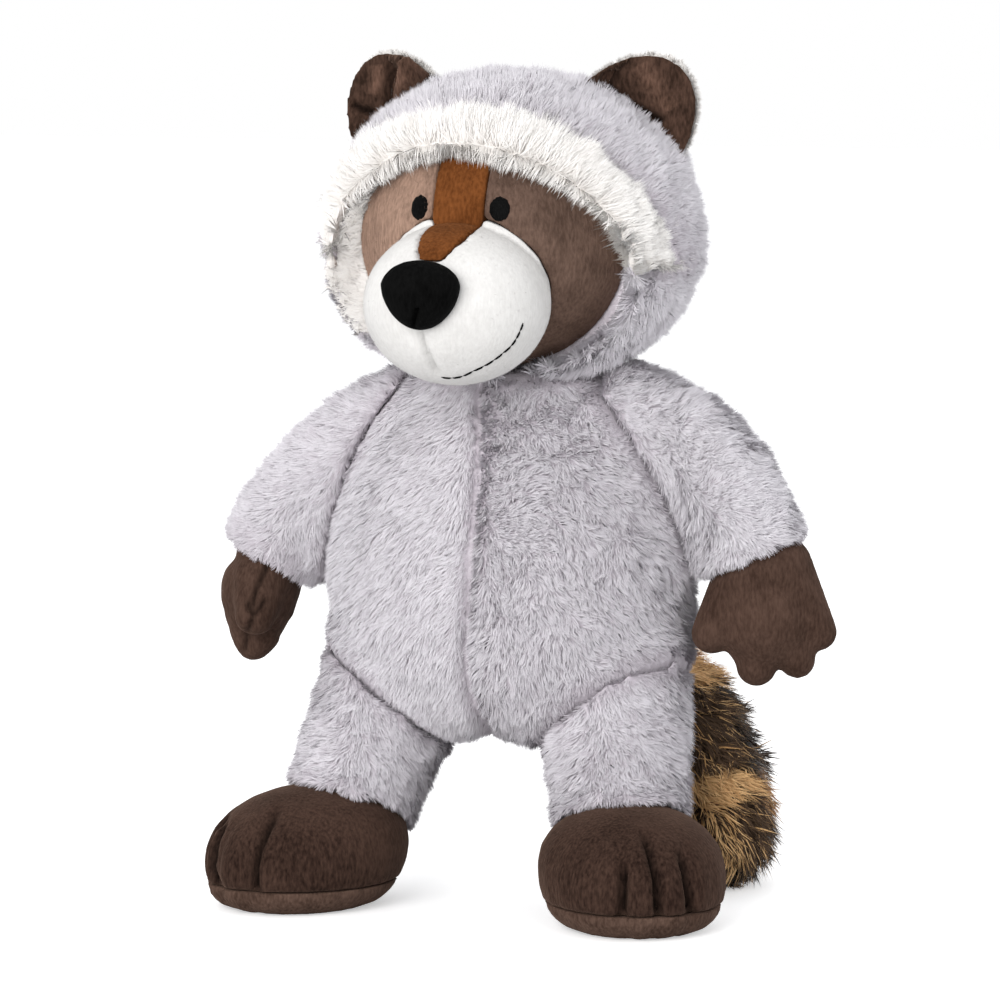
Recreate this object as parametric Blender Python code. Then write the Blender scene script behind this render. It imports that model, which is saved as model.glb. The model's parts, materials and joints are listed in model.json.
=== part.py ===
"""Standing plush raccoon with a furry hood, sewn panels and a ringed tail.

Every stuffed member is one closed solid that stands for its fabric and its filling.
Metres, +Z up. The toy faces -Y, its left hand is at +X, and its soles stand on Z = 0.
"""

import bmesh
import bpy
from math import atan2, cos, pi, radians, sin, sqrt
from mathutils import Matrix, Vector
from mathutils.bvhtree import BVHTree

SEAM_GAP = 0.0004          # clearance between two sewn members
PUSH_THROUGH = 0.02        # how far a cutter reaches past what it cuts

# Torso: an egg with a seam down the belly
TORSO_HALF_WIDTH = 0.078
TORSO_HALF_DEPTH = 0.057
TORSO_WAIST_Z = 0.114
TORSO_BOTTOM_Z = 0.0615
TORSO_TOP_Z = 0.222
BELLY_SEAM_DEPTH = 0.003
BELLY_SEAM_WIDTH = 0.007

# Head: a wide ball under a furry hood. What is sewn to it keeps its height from the head's middle.
HEAD_HALF_WIDTH = 0.0795
HEAD_HALF_DEPTH = 0.070
HEAD_UP = 0.0662
HEAD_DOWN = 0.061
NECK_SINK = 0.019          # how far the head is pressed down on the torso's top
HEAD_Z = TORSO_TOP_Z + HEAD_DOWN - NECK_SINK

# Face panels, set in the hood's opening
FACE_DROP = 0.015          # how far the opening's middle lies below the head's
FACE_Z = HEAD_Z - FACE_DROP
FACE_SIDE = 0.0145         # how much narrower the opening is than the head, each side
FACE_HALF_WIDTH = HEAD_HALF_WIDTH - FACE_SIDE
FACE_UP = 0.047
FACE_DOWN = 0.042
FACE_RIM_SET_BACK = 0.025
FACE_POCKET_DEPTH = 0.027
FACE_RIM_Y = FACE_RIM_SET_BACK - HEAD_HALF_DEPTH
FACE_FLOOR_Y = FACE_RIM_Y + FACE_POCKET_DEPTH
FACE_TAPER = 0.008         # how much narrower the opening is at its floor than at its rim
BALL_INSET = 0.006         # how much narrower the face's ball is than the opening, each side
BALL_SET_BACK = 0.010      # how far the face's ball lies behind the hood's front
BALL_UP = 0.058
BALL_DOWN = 0.054
BALL_HALF_WIDTH = FACE_HALF_WIDTH - BALL_INSET
BALL_HALF_DEPTH = HEAD_HALF_DEPTH - BALL_SET_BACK
MUZZLE_SINK = 0.001        # how far the muzzle's middle lies behind the front of the face's ball
MUZZLE_FORWARD = BALL_HALF_DEPTH - MUZZLE_SINK
MUZZLE_DROP = 0.009
MUZZLE_Z = FACE_Z - MUZZLE_DROP
CHEEK_WIDTH = 0.029        # from the muzzle's side to the opening's, straight across
MUZZLE_HALF_WIDTH = FACE_HALF_WIDTH - CHEEK_WIDTH
MUZZLE_HALF_DEPTH = 0.036
MUZZLE_HALF_HEIGHT = 0.031
MUZZLE_BLEND = 0.006
PATCH_MARGIN = 0.0013      # how far the white panel's seam stands off the muzzle's ball
PATCH_PEAK = 0.0025        # how much higher the white panel reaches beside the stripe
STRIPE_TOP_HALF = 0.0104
STRIPE_BROW_HALF = 0.0102
STRIPE_TIP_HALF = 0.0042
STRIPE_BROW_RISE = 0.024
STRIPE_BRIDGE_HALF = 0.0085
STRIPE_BRIDGE_RISE = 0.0165
STRIPE_TIP_RISE = 0.0095
NOSE_RISE = 0.006
NOSE_Z = MUZZLE_Z + NOSE_RISE
NOSE_HALF_WIDTH = 0.0152
NOSE_HALF_HEIGHT = 0.0134
NOSE_HALF_DEPTH = 0.0105
NOSE_PROUD = 0.0035        # how far the nose's middle stands in front of the muzzle
NOSE_TAPER = 0.28          # how much narrower the nose is at its foot
EYE_X = 0.0166
EYE_RISE = 0.028
EYE_Z = FACE_Z + EYE_RISE
EYE_HALF_WIDTH = 0.0045
EYE_HALF_HEIGHT = 0.0055
EYE_HALF_DEPTH = 0.0016
MOUTH_DROP = 0.0266
MOUTH_LOW_Z = MUZZLE_Z - MOUTH_DROP
MOUTH_RISE = 0.020
MOUTH_HALF_WIDTH = 0.032
MOUTH_START = -0.06        # where the smile starts at the chin's seam, as a share of its half width
THREAD_RADIUS = 0.0005

# White trim: a crescent of long pile over the face
TRIM_TOP = 0.015
TRIM_SIDE = 0.010
TRIM_PROUD = 0.0025
TRIM_DEPTH = 0.008
TRIM_END_ANGLE = radians(2)

# Ears: a furry back and a smooth front, cupped towards the face
EAR_X = 0.0435
EAR_Y = 0.010
EAR_RISE = 0.0395
EAR_Z = HEAD_Z + EAR_RISE
EAR_HALF_WIDTH = 0.0255
EAR_HEIGHT = 0.037
EAR_LEAN = radians(40)
EAR_TURN = radians(12)
EAR_CUP = 0.008
EAR_BACK_THICKNESS = 0.006
EAR_FRONT_THICKNESS = 0.0035
EAR_FRONT_SHARE = 0.93
EAR_EDGE_SHARE = 0.65      # the thickness at an ear's rim, as a share of that at its middle

# Sleeves and paws. A route's points are: how far out from the torso's side, and how high.
LEFT_SLEEVE_ROUTE = ((-0.029, 0.196), (-0.009, 0.187), (0.009, 0.170), (0.0215, 0.143))
RIGHT_SLEEVE_ROUTE = ((-0.034, 0.192), (-0.016, 0.182), (0.008, 0.158), (0.0225, 0.135))
SLEEVE_SHOULDER_HALF = 0.0205
SLEEVE_ELBOW_HALF = 0.0235
SLEEVE_HEM_HALF = 0.0245
SLEEVE_DEPTH_SHARE = 0.92
HEM_ROUND = 0.005
PAW_OUT = 0.028            # how far the palm's middle lies out from the torso's side
PAW_Z = 0.1185
PAW_HALF_SPAN = 0.0210
PAW_HALF_HEIGHT = 0.0240
PAW_HALF_THICKNESS = 0.0165
WRIST_RISE = 0.017
WRIST_RADIUS = 0.0160
WRIST_SPREAD = 0.15        # how far a finger's root is from the wrist's middle, as a share of its tip's
FINGERS = (                # across, up and radius, from the thumb to the little finger
    (-0.0205, -0.0085, 0.0085),
    (-0.0030, -0.0214, 0.0083),
    (0.0129, -0.0190, 0.0075),
    (0.0213, -0.0080, 0.0075),
)
LEFT_PAW_TURN = radians(20)
LEFT_PAW_LEAN = 0.0
RIGHT_PAW_TURN = radians(69)
RIGHT_PAW_LEAN = radians(-10)

# Legs, feet and soles
HIP_X = 0.044
HIP_Y = -0.004
HIP_Z = 0.092
ANKLE_X = 0.058
ANKLE_Y = -0.031
ANKLE_Z = 0.036
HIP_HALF = 0.033
LEG_HEM_HALF = 0.027
FOOT_X = 0.0705
FOOT_Y = -0.051
FOOT_SPLAY = radians(35)
FOOT_HALF_LENGTH = 0.042
FOOT_HALF_WIDTH = 0.0365
FOOT_HEIGHT = 0.0475
FOOT_WAIST_Z = 0.021
FOOT_DOME = 2.25           # how square the top is: 2 is round
FOOT_LEAN_BACK = 0.009     # how far the top lies behind the sole
SOLE_EDGE_Z = 0.010
SOLE_FLAT_SHARE = 0.64
TOE_SEAMS = (radians(-24), 0.0, radians(24))
TOE_SEAM_WIDTH = radians(5)
TOE_SEAM_DEPTH = 0.0028

# Tail: hangs behind the left leg and rests on the floor
TAIL_ROUTE = ((0.010, 0.040, 0.095), (0.034, 0.062, 0.078), (0.052, 0.061, 0.056), (0.0675, 0.048, 0.0245))
TAIL_ROOT_HALF = 0.017
TAIL_HALF = 0.0265

PLUSH_GREY = (0.66, 0.64, 0.68)
TRIM_WHITE = (0.90, 0.89, 0.86)
MASK_BROWN = (0.115, 0.075, 0.055)
STRIPE_RUST = (0.30, 0.115, 0.035)
MUZZLE_WHITE = (0.86, 0.85, 0.82)
NOSE_BLACK = (0.008, 0.008, 0.009)
PAW_BROWN = (0.065, 0.042, 0.032)
SOLE_BROWN = (0.095, 0.062, 0.046)
TAIL_TAN = (0.42, 0.26, 0.12)


def fabric(name, colour, roughness):
    """A cloth material in one colour."""
    material = bpy.data.materials.get(name) or bpy.data.materials.new(name)
    material.use_nodes = True
    shader = material.node_tree.nodes["Principled BSDF"]
    shader.inputs["Base Color"].default_value = (*colour, 1.0)
    shader.inputs["Roughness"].default_value = roughness
    shader.inputs["Metallic"].default_value = 0.0
    return material


def add_object(name, bm):
    """An object in the scene from a bmesh, with its faces pointing out."""
    bmesh.ops.recalc_face_normals(bm, faces=bm.faces)
    mesh = bpy.data.meshes.new(name)
    bm.to_mesh(mesh)
    bm.free()
    obj = bpy.data.objects.new(name, mesh)
    bpy.context.scene.collection.objects.link(obj)
    return obj


def finish(obj, material):
    """Smooth shading, and the member's own fabric."""
    obj.data.materials.clear()
    obj.data.materials.append(material)
    obj.data.shade_smooth()
    obj.data.set_sharp_from_angle(angle=radians(50))
    return obj


def remove(*objects):
    for obj in objects:
        bpy.data.objects.remove(obj)


def combine(obj, other, operation, keep_other=True):
    """Cuts, joins or intersects obj with other, and keeps the result as obj's mesh."""
    modifier = obj.modifiers.new("combine", "BOOLEAN")
    modifier.operation = operation
    modifier.object = other
    modifier.solver = "EXACT"
    bpy.context.view_layer.update()
    shown = obj.evaluated_get(bpy.context.evaluated_depsgraph_get())
    mesh = bpy.data.meshes.new_from_object(shown)
    obj.modifiers.clear()
    obj.data = mesh
    if not keep_other:
        remove(other)
    return obj


def copy_of(obj, name):
    made = bpy.data.objects.new(name, obj.data.copy())
    bpy.context.scene.collection.objects.link(made)
    return made


def offset_copy(obj, distance):
    """A copy of obj with its surface moved out by distance, or in if that is negative."""
    made = copy_of(obj, obj.name + "_offset")
    bm = bmesh.new()
    bm.from_mesh(made.data)
    bmesh.ops.remove_doubles(bm, verts=bm.verts, dist=1e-6)
    bm.normal_update()
    moves = [v.normal * distance * min(v.calc_shell_factor(), 2.5) for v in bm.verts]
    for v, move in zip(bm.verts, moves):
        v.co += move
    bm.to_mesh(made.data)
    bm.free()
    return made


def seat_against(obj, *neighbours):
    """Cuts obj back so that it meets each neighbour with a seam's clearance."""
    for neighbour in neighbours:
        combine(obj, offset_copy(neighbour, SEAM_GAP), "DIFFERENCE", keep_other=False)
    return obj


def superellipsoid_reach(direction, half_x, half_y, up, down, power):
    """How far a rounded ball reaches from its centre in a direction."""
    half_z = up if direction.z > 0 else down
    parts = (direction.x / half_x, direction.y / half_y, direction.z / half_z)
    return sum(abs(p) ** power for p in parts) ** (-1 / power)


def far_side(direction, centre, halves):
    """How far a ray from the origin runs to the far side of an ellipsoid."""
    a = sum((d / h) ** 2 for d, h in zip(direction, halves))
    b = sum(d * c / h ** 2 for d, c, h in zip(direction, centre, halves))
    c = sum((c / h) ** 2 for c, h in zip(centre, halves)) - 1
    return (b + sqrt(max(b * b - a * c, 0.0))) / a


def smooth_most(a, b, blend):
    """The larger of two lengths, with the step between them rounded over blend."""
    h = max(blend - abs(a - b), 0.0) / blend
    return max(a, b) + h * h * blend / 4


def ball_form(name, centre, reach, fineness):
    """A closed skin: each point of a round ball moved out to reach(direction)."""
    bm = bmesh.new()
    bmesh.ops.create_icosphere(bm, subdivisions=fineness, radius=1.0)
    for v in bm.verts:
        direction = v.co.normalized()
        v.co = centre + direction * reach(direction)
    return add_object(name, bm)


def close_rings(bm, rings):
    """Walls between rings of points that follow each other, with a flat cap at each end."""
    for lower, upper in zip(rings, rings[1:]):
        for i in range(len(lower)):
            j = (i + 1) % len(lower)
            bm.faces.new((lower[i], lower[j], upper[j], upper[i]))
    bm.faces.new(rings[0])
    bm.faces.new(rings[-1])


def turned_form(name, place, heading, rows, angles, seam_at):
    """A form turned about an upright line at place, with its front turned to heading.
    A row is (z, half across, half along, shift along). seam_at(angle, z) is how deep a seam is."""
    turn = Matrix.Rotation(heading, 3, "Z")
    bm = bmesh.new()
    rings = []
    for z, across, along, shift in rows:
        ring = []
        for angle in angles:
            point = Vector((across * sin(angle), -along * cos(angle), 0))
            point -= point.normalized() * min(seam_at(angle, z), point.length / 2)
            point.y -= shift
            ring.append(bm.verts.new(turn @ point + Vector((place[0], place[1], z))))
        rings.append(ring)
    close_rings(bm, rings)
    return add_object(name, bm)


def seamed_angles(count, seams, half_width):
    """Angles round a ring, with a close set of three at each seam."""
    even = [i * 2 * pi / count for i in range(count)]
    near = [seam % (2 * pi) for seam in seams]
    kept = [a for a in even if all(abs((a - s + pi) % (2 * pi) - pi) > 1.5 * half_width for s in near)]
    extra = [(s + step) % (2 * pi) for s in near for step in (-half_width, 0, half_width)]
    return sorted(kept + extra)


def at_seam(angle, seams):
    return any(abs((angle - seam + pi) % (2 * pi) - pi) < 1e-6 for seam in seams)


def along_spline(points, steps):
    """Points on a smooth curve through the given tuples, with steps to each span."""
    padded = [points[0], *points, points[-1]]
    made = []
    for i in range(len(points) - 1):
        p0, p1, p2, p3 = padded[i:i + 4]
        for step in range(steps):
            t = step / steps
            made.append(tuple(
                b + 0.5 * t * ((c - a) + t * (2 * a - 5 * b + 4 * c - d) + t * t * (3 * b - a - 3 * c + d))
                for a, b, c, d in zip(p0, p1, p2, p3)
            ))
    made.append(tuple(points[-1]))
    return made


def limb_form(name, stations, steps, sides, start_round, end_round, depth_axis):
    """A stuffed limb with rounded ends. A station is (x, y, z, half across, half deep)."""
    rows = along_spline(stations, steps)
    centres = [Vector(row[:3]) for row in rows]
    tangents = [(b - a).normalized() for a, b in zip(centres, centres[1:])]
    tangents = [tangents[0]] + [(a + b).normalized() for a, b in zip(tangents, tangents[1:])] + [tangents[-1]]
    sections = [(c, t, row[3], row[4]) for c, t, row in zip(centres, tangents, rows)]

    def rounded_end(centre, tangent, across, deep, length):
        """Rings that close an end over length, as a quarter circle does."""
        rings = []
        for a in (radians(28), radians(52), radians(72)):
            narrow = length * (1 - cos(a))
            rings.append((centre + tangent * length * sin(a), tangent, across - narrow, deep - narrow))
        return rings

    centre, tangent, across, deep = sections[0]
    start = [(c, -t, w, d) for c, t, w, d in rounded_end(centre, -tangent, across, deep, start_round)]
    sections = start[::-1] + sections + rounded_end(*sections[-1], end_round)
    bm = bmesh.new()
    rings = []
    for centre, tangent, across, deep in sections:
        depth = (depth_axis - tangent * depth_axis.dot(tangent)).normalized()
        width = depth.cross(tangent)
        rings.append([
            bm.verts.new(centre + width * across * cos(a) + depth * deep * sin(a))
            for a in (i * 2 * pi / sides for i in range(sides))
        ])
    close_rings(bm, rings)
    return add_object(name, bm)


def prism(name, outline, y_front, y_back):
    """A closed outline of (x, z) points, carried through from y_front to y_back."""
    bm = bmesh.new()
    rings = [[bm.verts.new((x, y, z)) for x, z in outline] for y in (y_front, y_back)]
    close_rings(bm, rings)
    return add_object(name, bm)


def oval(x, z, half_width, up, down, grow=0.0, count=48):
    """An oval's outline, with its own height above and below the centre."""
    angles = [i * 2 * pi / count for i in range(count)]
    return [
        (x + (half_width + grow) * cos(a), z + ((up if sin(a) > 0 else down) + grow) * sin(a))
        for a in angles
    ]


def surface_point(tree, x, z):
    """The place and the outward direction of a form's front at (x, z)."""
    place, normal, _, _ = tree.ray_cast(Vector((x, -1.0, z)), Vector((0, 1, 0)))
    return place, normal


def tree_of(obj):
    bm = bmesh.new()
    bm.from_mesh(obj.data)
    tree = BVHTree.FromBMesh(bm)
    bm.free()
    return tree


def make_torso():
    """An egg-shaped belly, pulled in along the seam that joins its two front panels."""
    seams = (0.0, pi)
    angles = seamed_angles(32, seams, BELLY_SEAM_WIDTH / TORSO_HALF_WIDTH)

    def seam_at(angle, z):
        return BELLY_SEAM_DEPTH if at_seam(angle, seams) else 0.0

    rows = []
    for turn in (-84, -70, -55, -38, -20, 0, 16, 32, 46, 58, 68):
        a = radians(turn)
        reach = TORSO_WAIST_Z - TORSO_BOTTOM_Z if a < 0 else TORSO_TOP_Z - TORSO_WAIST_Z
        share = cos(a) ** (0.75 if a < 0 else 0.92)
        rows.append((TORSO_WAIST_Z + reach * sin(a), TORSO_HALF_WIDTH * share, TORSO_HALF_DEPTH * share, 0.0))
    return turned_form("torso", (0, 0), 0.0, rows, angles, seam_at)


def make_hood_form():
    """The whole head's outside, before its face is let in."""
    def reach(direction):
        power = 1.88 if direction.z > 0 else 2.0
        return superellipsoid_reach(direction, HEAD_HALF_WIDTH, HEAD_HALF_DEPTH, HEAD_UP, HEAD_DOWN, power)
    return ball_form("hood_form", Vector((0, 0, HEAD_Z)), reach, 4)


def make_face_form():
    """The face's outside: a smaller ball that swells forward into the muzzle."""
    muzzle = Vector((0, -MUZZLE_FORWARD, MUZZLE_Z - HEAD_Z))
    halves = (MUZZLE_HALF_WIDTH, MUZZLE_HALF_DEPTH, MUZZLE_HALF_HEIGHT)

    def reach(direction):
        ball = superellipsoid_reach(direction, BALL_HALF_WIDTH, BALL_HALF_DEPTH, BALL_UP, BALL_DOWN, 2.0)
        return smooth_most(ball, far_side(direction, muzzle, halves), MUZZLE_BLEND)
    return ball_form("face_form", Vector((0, 0, HEAD_Z)), reach, 4)


def face_opening(name, y_front, grow):
    """The opening's shape, which narrows from the hood's edge back to its floor."""
    bm = bmesh.new()
    rings = []
    for y in (y_front, FACE_FLOOR_Y):
        narrow = FACE_TAPER * (y - FACE_RIM_Y) / (FACE_FLOOR_Y - FACE_RIM_Y)
        outline = oval(0.0, FACE_Z, FACE_HALF_WIDTH, FACE_UP, FACE_DOWN, grow - narrow)
        rings.append([bm.verts.new((x, y + grow * (y == FACE_FLOOR_Y), z)) for x, z in outline])
    close_rings(bm, rings)
    return add_object(name, bm)


def trim_outline(grow):
    """A crescent that is widest over the brow and narrows to each cheek."""
    steps = 28
    end = TRIM_END_ANGLE - grow / FACE_HALF_WIDTH
    angles = [end + (pi - 2 * end) * i / steps for i in range(steps + 1)]
    inner = SEAM_GAP - 2 * grow
    edges = ((inner, inner, angles), (TRIM_SIDE + grow, TRIM_TOP + grow, angles[::-1]))
    return [
        ((FACE_HALF_WIDTH + wide) * cos(a), FACE_Z + (FACE_UP + high) * sin(a))
        for wide, high, turns in edges for a in turns
    ]


def make_trim(hood_form, grow=0.0):
    """A padded band on the hood's front edge, a little proud of the hood. grow makes the bed it lies in."""
    trim = offset_copy(hood_form, TRIM_PROUD + grow)
    trim.name = trim.data.name = "hood_trim"
    reach_y = -HEAD_HALF_DEPTH - PUSH_THROUGH
    combine(trim, prism("crescent", trim_outline(grow), reach_y, 0.0), "INTERSECT", keep_other=False)
    combine(trim, offset_copy(hood_form, -TRIM_DEPTH - grow), "DIFFERENCE", keep_other=False)
    return trim


def stripe_outline(grow=0.0):
    """The rust stripe from the hood's edge down the bridge of the nose."""
    top = FACE_Z + FACE_UP + PUSH_THROUGH
    half = [
        (STRIPE_TOP_HALF, top), (STRIPE_BROW_HALF, FACE_Z + STRIPE_BROW_RISE),
        (STRIPE_BRIDGE_HALF, FACE_Z + STRIPE_BRIDGE_RISE), (STRIPE_TIP_HALF, FACE_Z + STRIPE_TIP_RISE),
    ]
    half = [(x + grow, z) for x, z in half[:-1]] + [(half[-1][0] + grow, half[-1][1] - grow)]
    return half + [(-x, z) for x, z in reversed(half)]


def make_patch(grow):
    """The round bed of the white panel. It leaves the face along the crease about the muzzle."""
    margin = PATCH_MARGIN + grow

    def reach(direction):
        return superellipsoid_reach(
            direction, MUZZLE_HALF_WIDTH + margin, MUZZLE_HALF_DEPTH + margin,
            MUZZLE_HALF_HEIGHT + margin + PATCH_PEAK, MUZZLE_HALF_HEIGHT + margin, 2.0)
    return ball_form("patch", Vector((0, -MUZZLE_FORWARD, MUZZLE_Z)), reach, 3)


def make_nose(face_tree):
    """A padded ball, narrower at its foot, on the front of the muzzle."""
    place, _ = surface_point(face_tree, 0.0, NOSE_Z)
    centre = place - Vector((0, NOSE_PROUD, 0))

    def reach(direction):
        return superellipsoid_reach(
            direction, NOSE_HALF_WIDTH, NOSE_HALF_DEPTH, NOSE_HALF_HEIGHT, NOSE_HALF_HEIGHT, 2.2)
    nose = ball_form("nose", Vector((0, 0, 0)), reach, 3)
    for v in nose.data.vertices:
        v.co.x *= 1 + NOSE_TAPER * min(v.co.z / NOSE_HALF_HEIGHT, 0.35)
        v.co += centre
    return nose


def make_eye(side, face_tree):
    """An embroidered oval that stands a little proud of the mask."""
    place, normal = surface_point(face_tree, side * EYE_X, EYE_Z)
    turn = normal.to_track_quat("Z", "Y").to_matrix()

    def reach(direction):
        return superellipsoid_reach(
            direction, EYE_HALF_WIDTH, EYE_HALF_HEIGHT, EYE_HALF_DEPTH, EYE_HALF_DEPTH, 2.0)
    eye = ball_form("eye_left" if side > 0 else "eye_right", Vector((0, 0, 0)), reach, 2)
    for v in eye.data.vertices:
        v.co = turn @ v.co + place
    return eye


def make_mouth(face_tree):
    """The black thread of the smile, laid on the muzzle from the chin up to the toy's left cheek."""
    count = 12
    curve = bpy.data.curves.new("mouth_thread", "CURVE")
    curve.dimensions = "3D"
    curve.bevel_depth = THREAD_RADIUS
    curve.bevel_resolution = 1
    curve.use_fill_caps = True
    line = curve.splines.new("POLY")
    line.points.add(count)
    for i, point in enumerate(line.points):
        share = MOUTH_START + (1 - MOUTH_START) * i / count
        z = MOUTH_LOW_Z + MOUTH_RISE * abs(share) ** 2.2
        place, normal = surface_point(face_tree, MOUTH_HALF_WIDTH * share, z)
        point.co = (*(place + normal * (THREAD_RADIUS + SEAM_GAP)), 1.0)
    mouth = bpy.data.objects.new("mouth_thread", curve)
    bpy.context.scene.collection.objects.link(mouth)
    return mouth


def make_head(torso):
    """The hood ball with the face panels let into it, and what is sewn on the face."""
    hood = make_hood_form()
    hood.name = hood.data.name = "hood"
    face = make_face_form()
    face_tree = tree_of(face)
    y_front = -HEAD_HALF_DEPTH - MUZZLE_FORWARD
    hood_form = copy_of(hood, "hood_form")
    trim = make_trim(hood_form)
    pocket = face_opening("pocket", y_front, SEAM_GAP)
    combine(hood, pocket, "DIFFERENCE")
    combine(trim, pocket, "DIFFERENCE", keep_other=False)
    combine(hood, make_trim(hood_form, SEAM_GAP), "DIFFERENCE", keep_other=False)
    seat_against(hood, torso)
    combine(face, face_opening("plug", y_front, 0.0), "INTERSECT", keep_other=False)
    seat_against(face, torso)

    nose = make_nose(face_tree)
    eyes = {side: make_eye(side, face_tree) for side in (1, -1)}
    stripe = copy_of(face, "brow_stripe")
    combine(stripe, prism("stripe", stripe_outline(), y_front, 0.0), "INTERSECT", keep_other=False)
    seat_against(stripe, nose)
    combine(face, prism("stripe_bed", stripe_outline(SEAM_GAP), y_front, 0.0), "DIFFERENCE", keep_other=False)
    seat_against(face, nose)

    muzzle = copy_of(face, "muzzle")
    combine(muzzle, make_patch(0.0), "INTERSECT", keep_other=False)
    seat_against(muzzle, *eyes.values())
    combine(face, make_patch(SEAM_GAP), "DIFFERENCE", keep_other=False)
    masks = []
    for side, name in ((1, "mask_left"), (-1, "mask_right")):
        mask = copy_of(face, name)
        reach = HEAD_HALF_WIDTH + PUSH_THROUGH
        low, high = HEAD_Z - reach, HEAD_Z + reach
        half = [(0.0, low), (side * reach, low), (side * reach, high), (0.0, high)]
        combine(mask, prism("half", half, y_front, PUSH_THROUGH), "INTERSECT", keep_other=False)
        seat_against(mask, eyes[side])
        masks.append(mask)
    mouth = make_mouth(face_tree)
    remove(face)
    return hood, hood_form, trim, stripe, nose, eyes, muzzle, masks, mouth


def ear_plate(name, side, set_back, thickness, share):
    """A cupped oval plate. set_back is how far behind the ear's middle layer its front face lies."""
    rings, sides = 4, 24
    lean = Matrix.Rotation(side * EAR_LEAN, 3, "Y")
    turn = Matrix.Rotation(side * EAR_TURN, 3, "Z")
    root = Vector((side * EAR_X, EAR_Y, EAR_Z))
    bm = bmesh.new()

    def point(x, z, depth):
        edge = (x / EAR_HALF_WIDTH) ** 2 + 0.35 * max(z / EAR_HEIGHT, 0.0) ** 2
        return bm.verts.new(root + turn @ lean @ Vector((x, set_back + depth - EAR_CUP * edge, z)))

    def layer(depth):
        middle = point(0.0, 0.0, depth)
        made = []
        for ring in range(1, rings + 1):
            reach = share * ring / rings
            at_depth = depth * (EAR_EDGE_SHARE if ring == rings else 1.0)
            turns = [i * 2 * pi / sides for i in range(sides)]
            ring_at = [(EAR_HALF_WIDTH * reach * cos(a), EAR_HEIGHT * reach * sin(a)) for a in turns]
            made.append([point(x, z, at_depth) for x, z in ring_at])
        return middle, made

    front_middle, front = layer(0.0)
    back_middle, back = layer(thickness)
    for middle, layers in ((front_middle, front), (back_middle, back)):
        for i in range(sides):
            bm.faces.new((middle, layers[0][i], layers[0][(i + 1) % sides]))
        for inner, outer in zip(layers, layers[1:]):
            for i in range(sides):
                j = (i + 1) % sides
                bm.faces.new((inner[i], outer[i], outer[j], inner[j]))
    for i in range(sides):
        j = (i + 1) % sides
        bm.faces.new((front[-1][i], front[-1][j], back[-1][j], back[-1][i]))
    return add_object(name, bm)


def make_ear(side, hood_form):
    """A white furry back with a brown front panel sewn inside its rim."""
    word = "left" if side > 0 else "right"
    back = ear_plate("ear_back_" + word, side, SEAM_GAP, EAR_BACK_THICKNESS, 1.0)
    front = ear_plate("ear_front_" + word, side, -EAR_FRONT_THICKNESS, EAR_FRONT_THICKNESS, EAR_FRONT_SHARE)
    seat_against(back, hood_form)
    seat_against(front, hood_form)
    return back, front


def hull_of(name, *forms):
    """The tight skin round some forms, which it uses up."""
    bm = bmesh.new()
    for form in forms:
        for v in form.data.vertices:
            bm.verts.new(v.co)
    skin = bmesh.ops.convex_hull(bm, input=bm.verts)
    inside = [v for v in skin["geom_interior"] if isinstance(v, bmesh.types.BMVert)]
    bmesh.ops.delete(bm, geom=inside, context="VERTS")
    remove(*forms)
    return add_object(name, bm)


def make_paw(side):
    """A mitten with a padded palm, and four short fingers that each spread from the wrist."""
    name = "paw_left" if side > 0 else "paw_right"
    turn = Matrix.Rotation(side * (LEFT_PAW_TURN if side > 0 else RIGHT_PAW_TURN), 3, "Z")
    turn = turn @ Matrix.Rotation(LEFT_PAW_LEAN if side > 0 else RIGHT_PAW_LEAN, 3, "X")
    centre = Vector((side * (TORSO_HALF_WIDTH + PAW_OUT), 0, PAW_Z))

    def blob(at, halves, fineness):
        def reach(direction):
            return superellipsoid_reach(direction, halves[0], halves[1], halves[2], halves[2], 2.0)
        made = ball_form(name, Vector((0, 0, 0)), reach, fineness)
        for v in made.data.vertices:
            v.co = turn @ (v.co + Vector((side * at[0], at[1], at[2]))) + centre
        return made

    paw = blob((0, 0, 0), (PAW_HALF_SPAN, PAW_HALF_THICKNESS, PAW_HALF_HEIGHT), 2)
    for x, z, radius in FINGERS:
        root_at = (x * WRIST_SPREAD, 0, WRIST_RISE)
        wrist = blob(root_at, (WRIST_RADIUS, WRIST_RADIUS * 0.95, WRIST_RADIUS), 2)
        tip = blob((x, 0, z), (radius, radius * 1.05, radius), 2)
        combine(paw, hull_of(name, wrist, tip), "UNION", keep_other=False)
    return paw


def make_sleeve(side, torso, hood_form, paw):
    """An arm that hangs out from the shoulder and takes the paw in its hem."""
    route = LEFT_SLEEVE_ROUTE if side > 0 else RIGHT_SLEEVE_ROUTE
    upper_half = (SLEEVE_SHOULDER_HALF + SLEEVE_ELBOW_HALF) / 2
    halves = (SLEEVE_SHOULDER_HALF, upper_half, SLEEVE_ELBOW_HALF, SLEEVE_HEM_HALF)
    stations = [
        (side * (TORSO_HALF_WIDTH + out), 0.0, z, half, half * SLEEVE_DEPTH_SHARE)
        for (out, z), half in zip(route, halves)
    ]
    name = "sleeve_left" if side > 0 else "sleeve_right"
    sleeve = limb_form(name, stations, 2, 20, SLEEVE_SHOULDER_HALF * 0.8, HEM_ROUND, Vector((0, 1, 0)))
    return seat_against(sleeve, torso, hood_form, paw)


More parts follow.
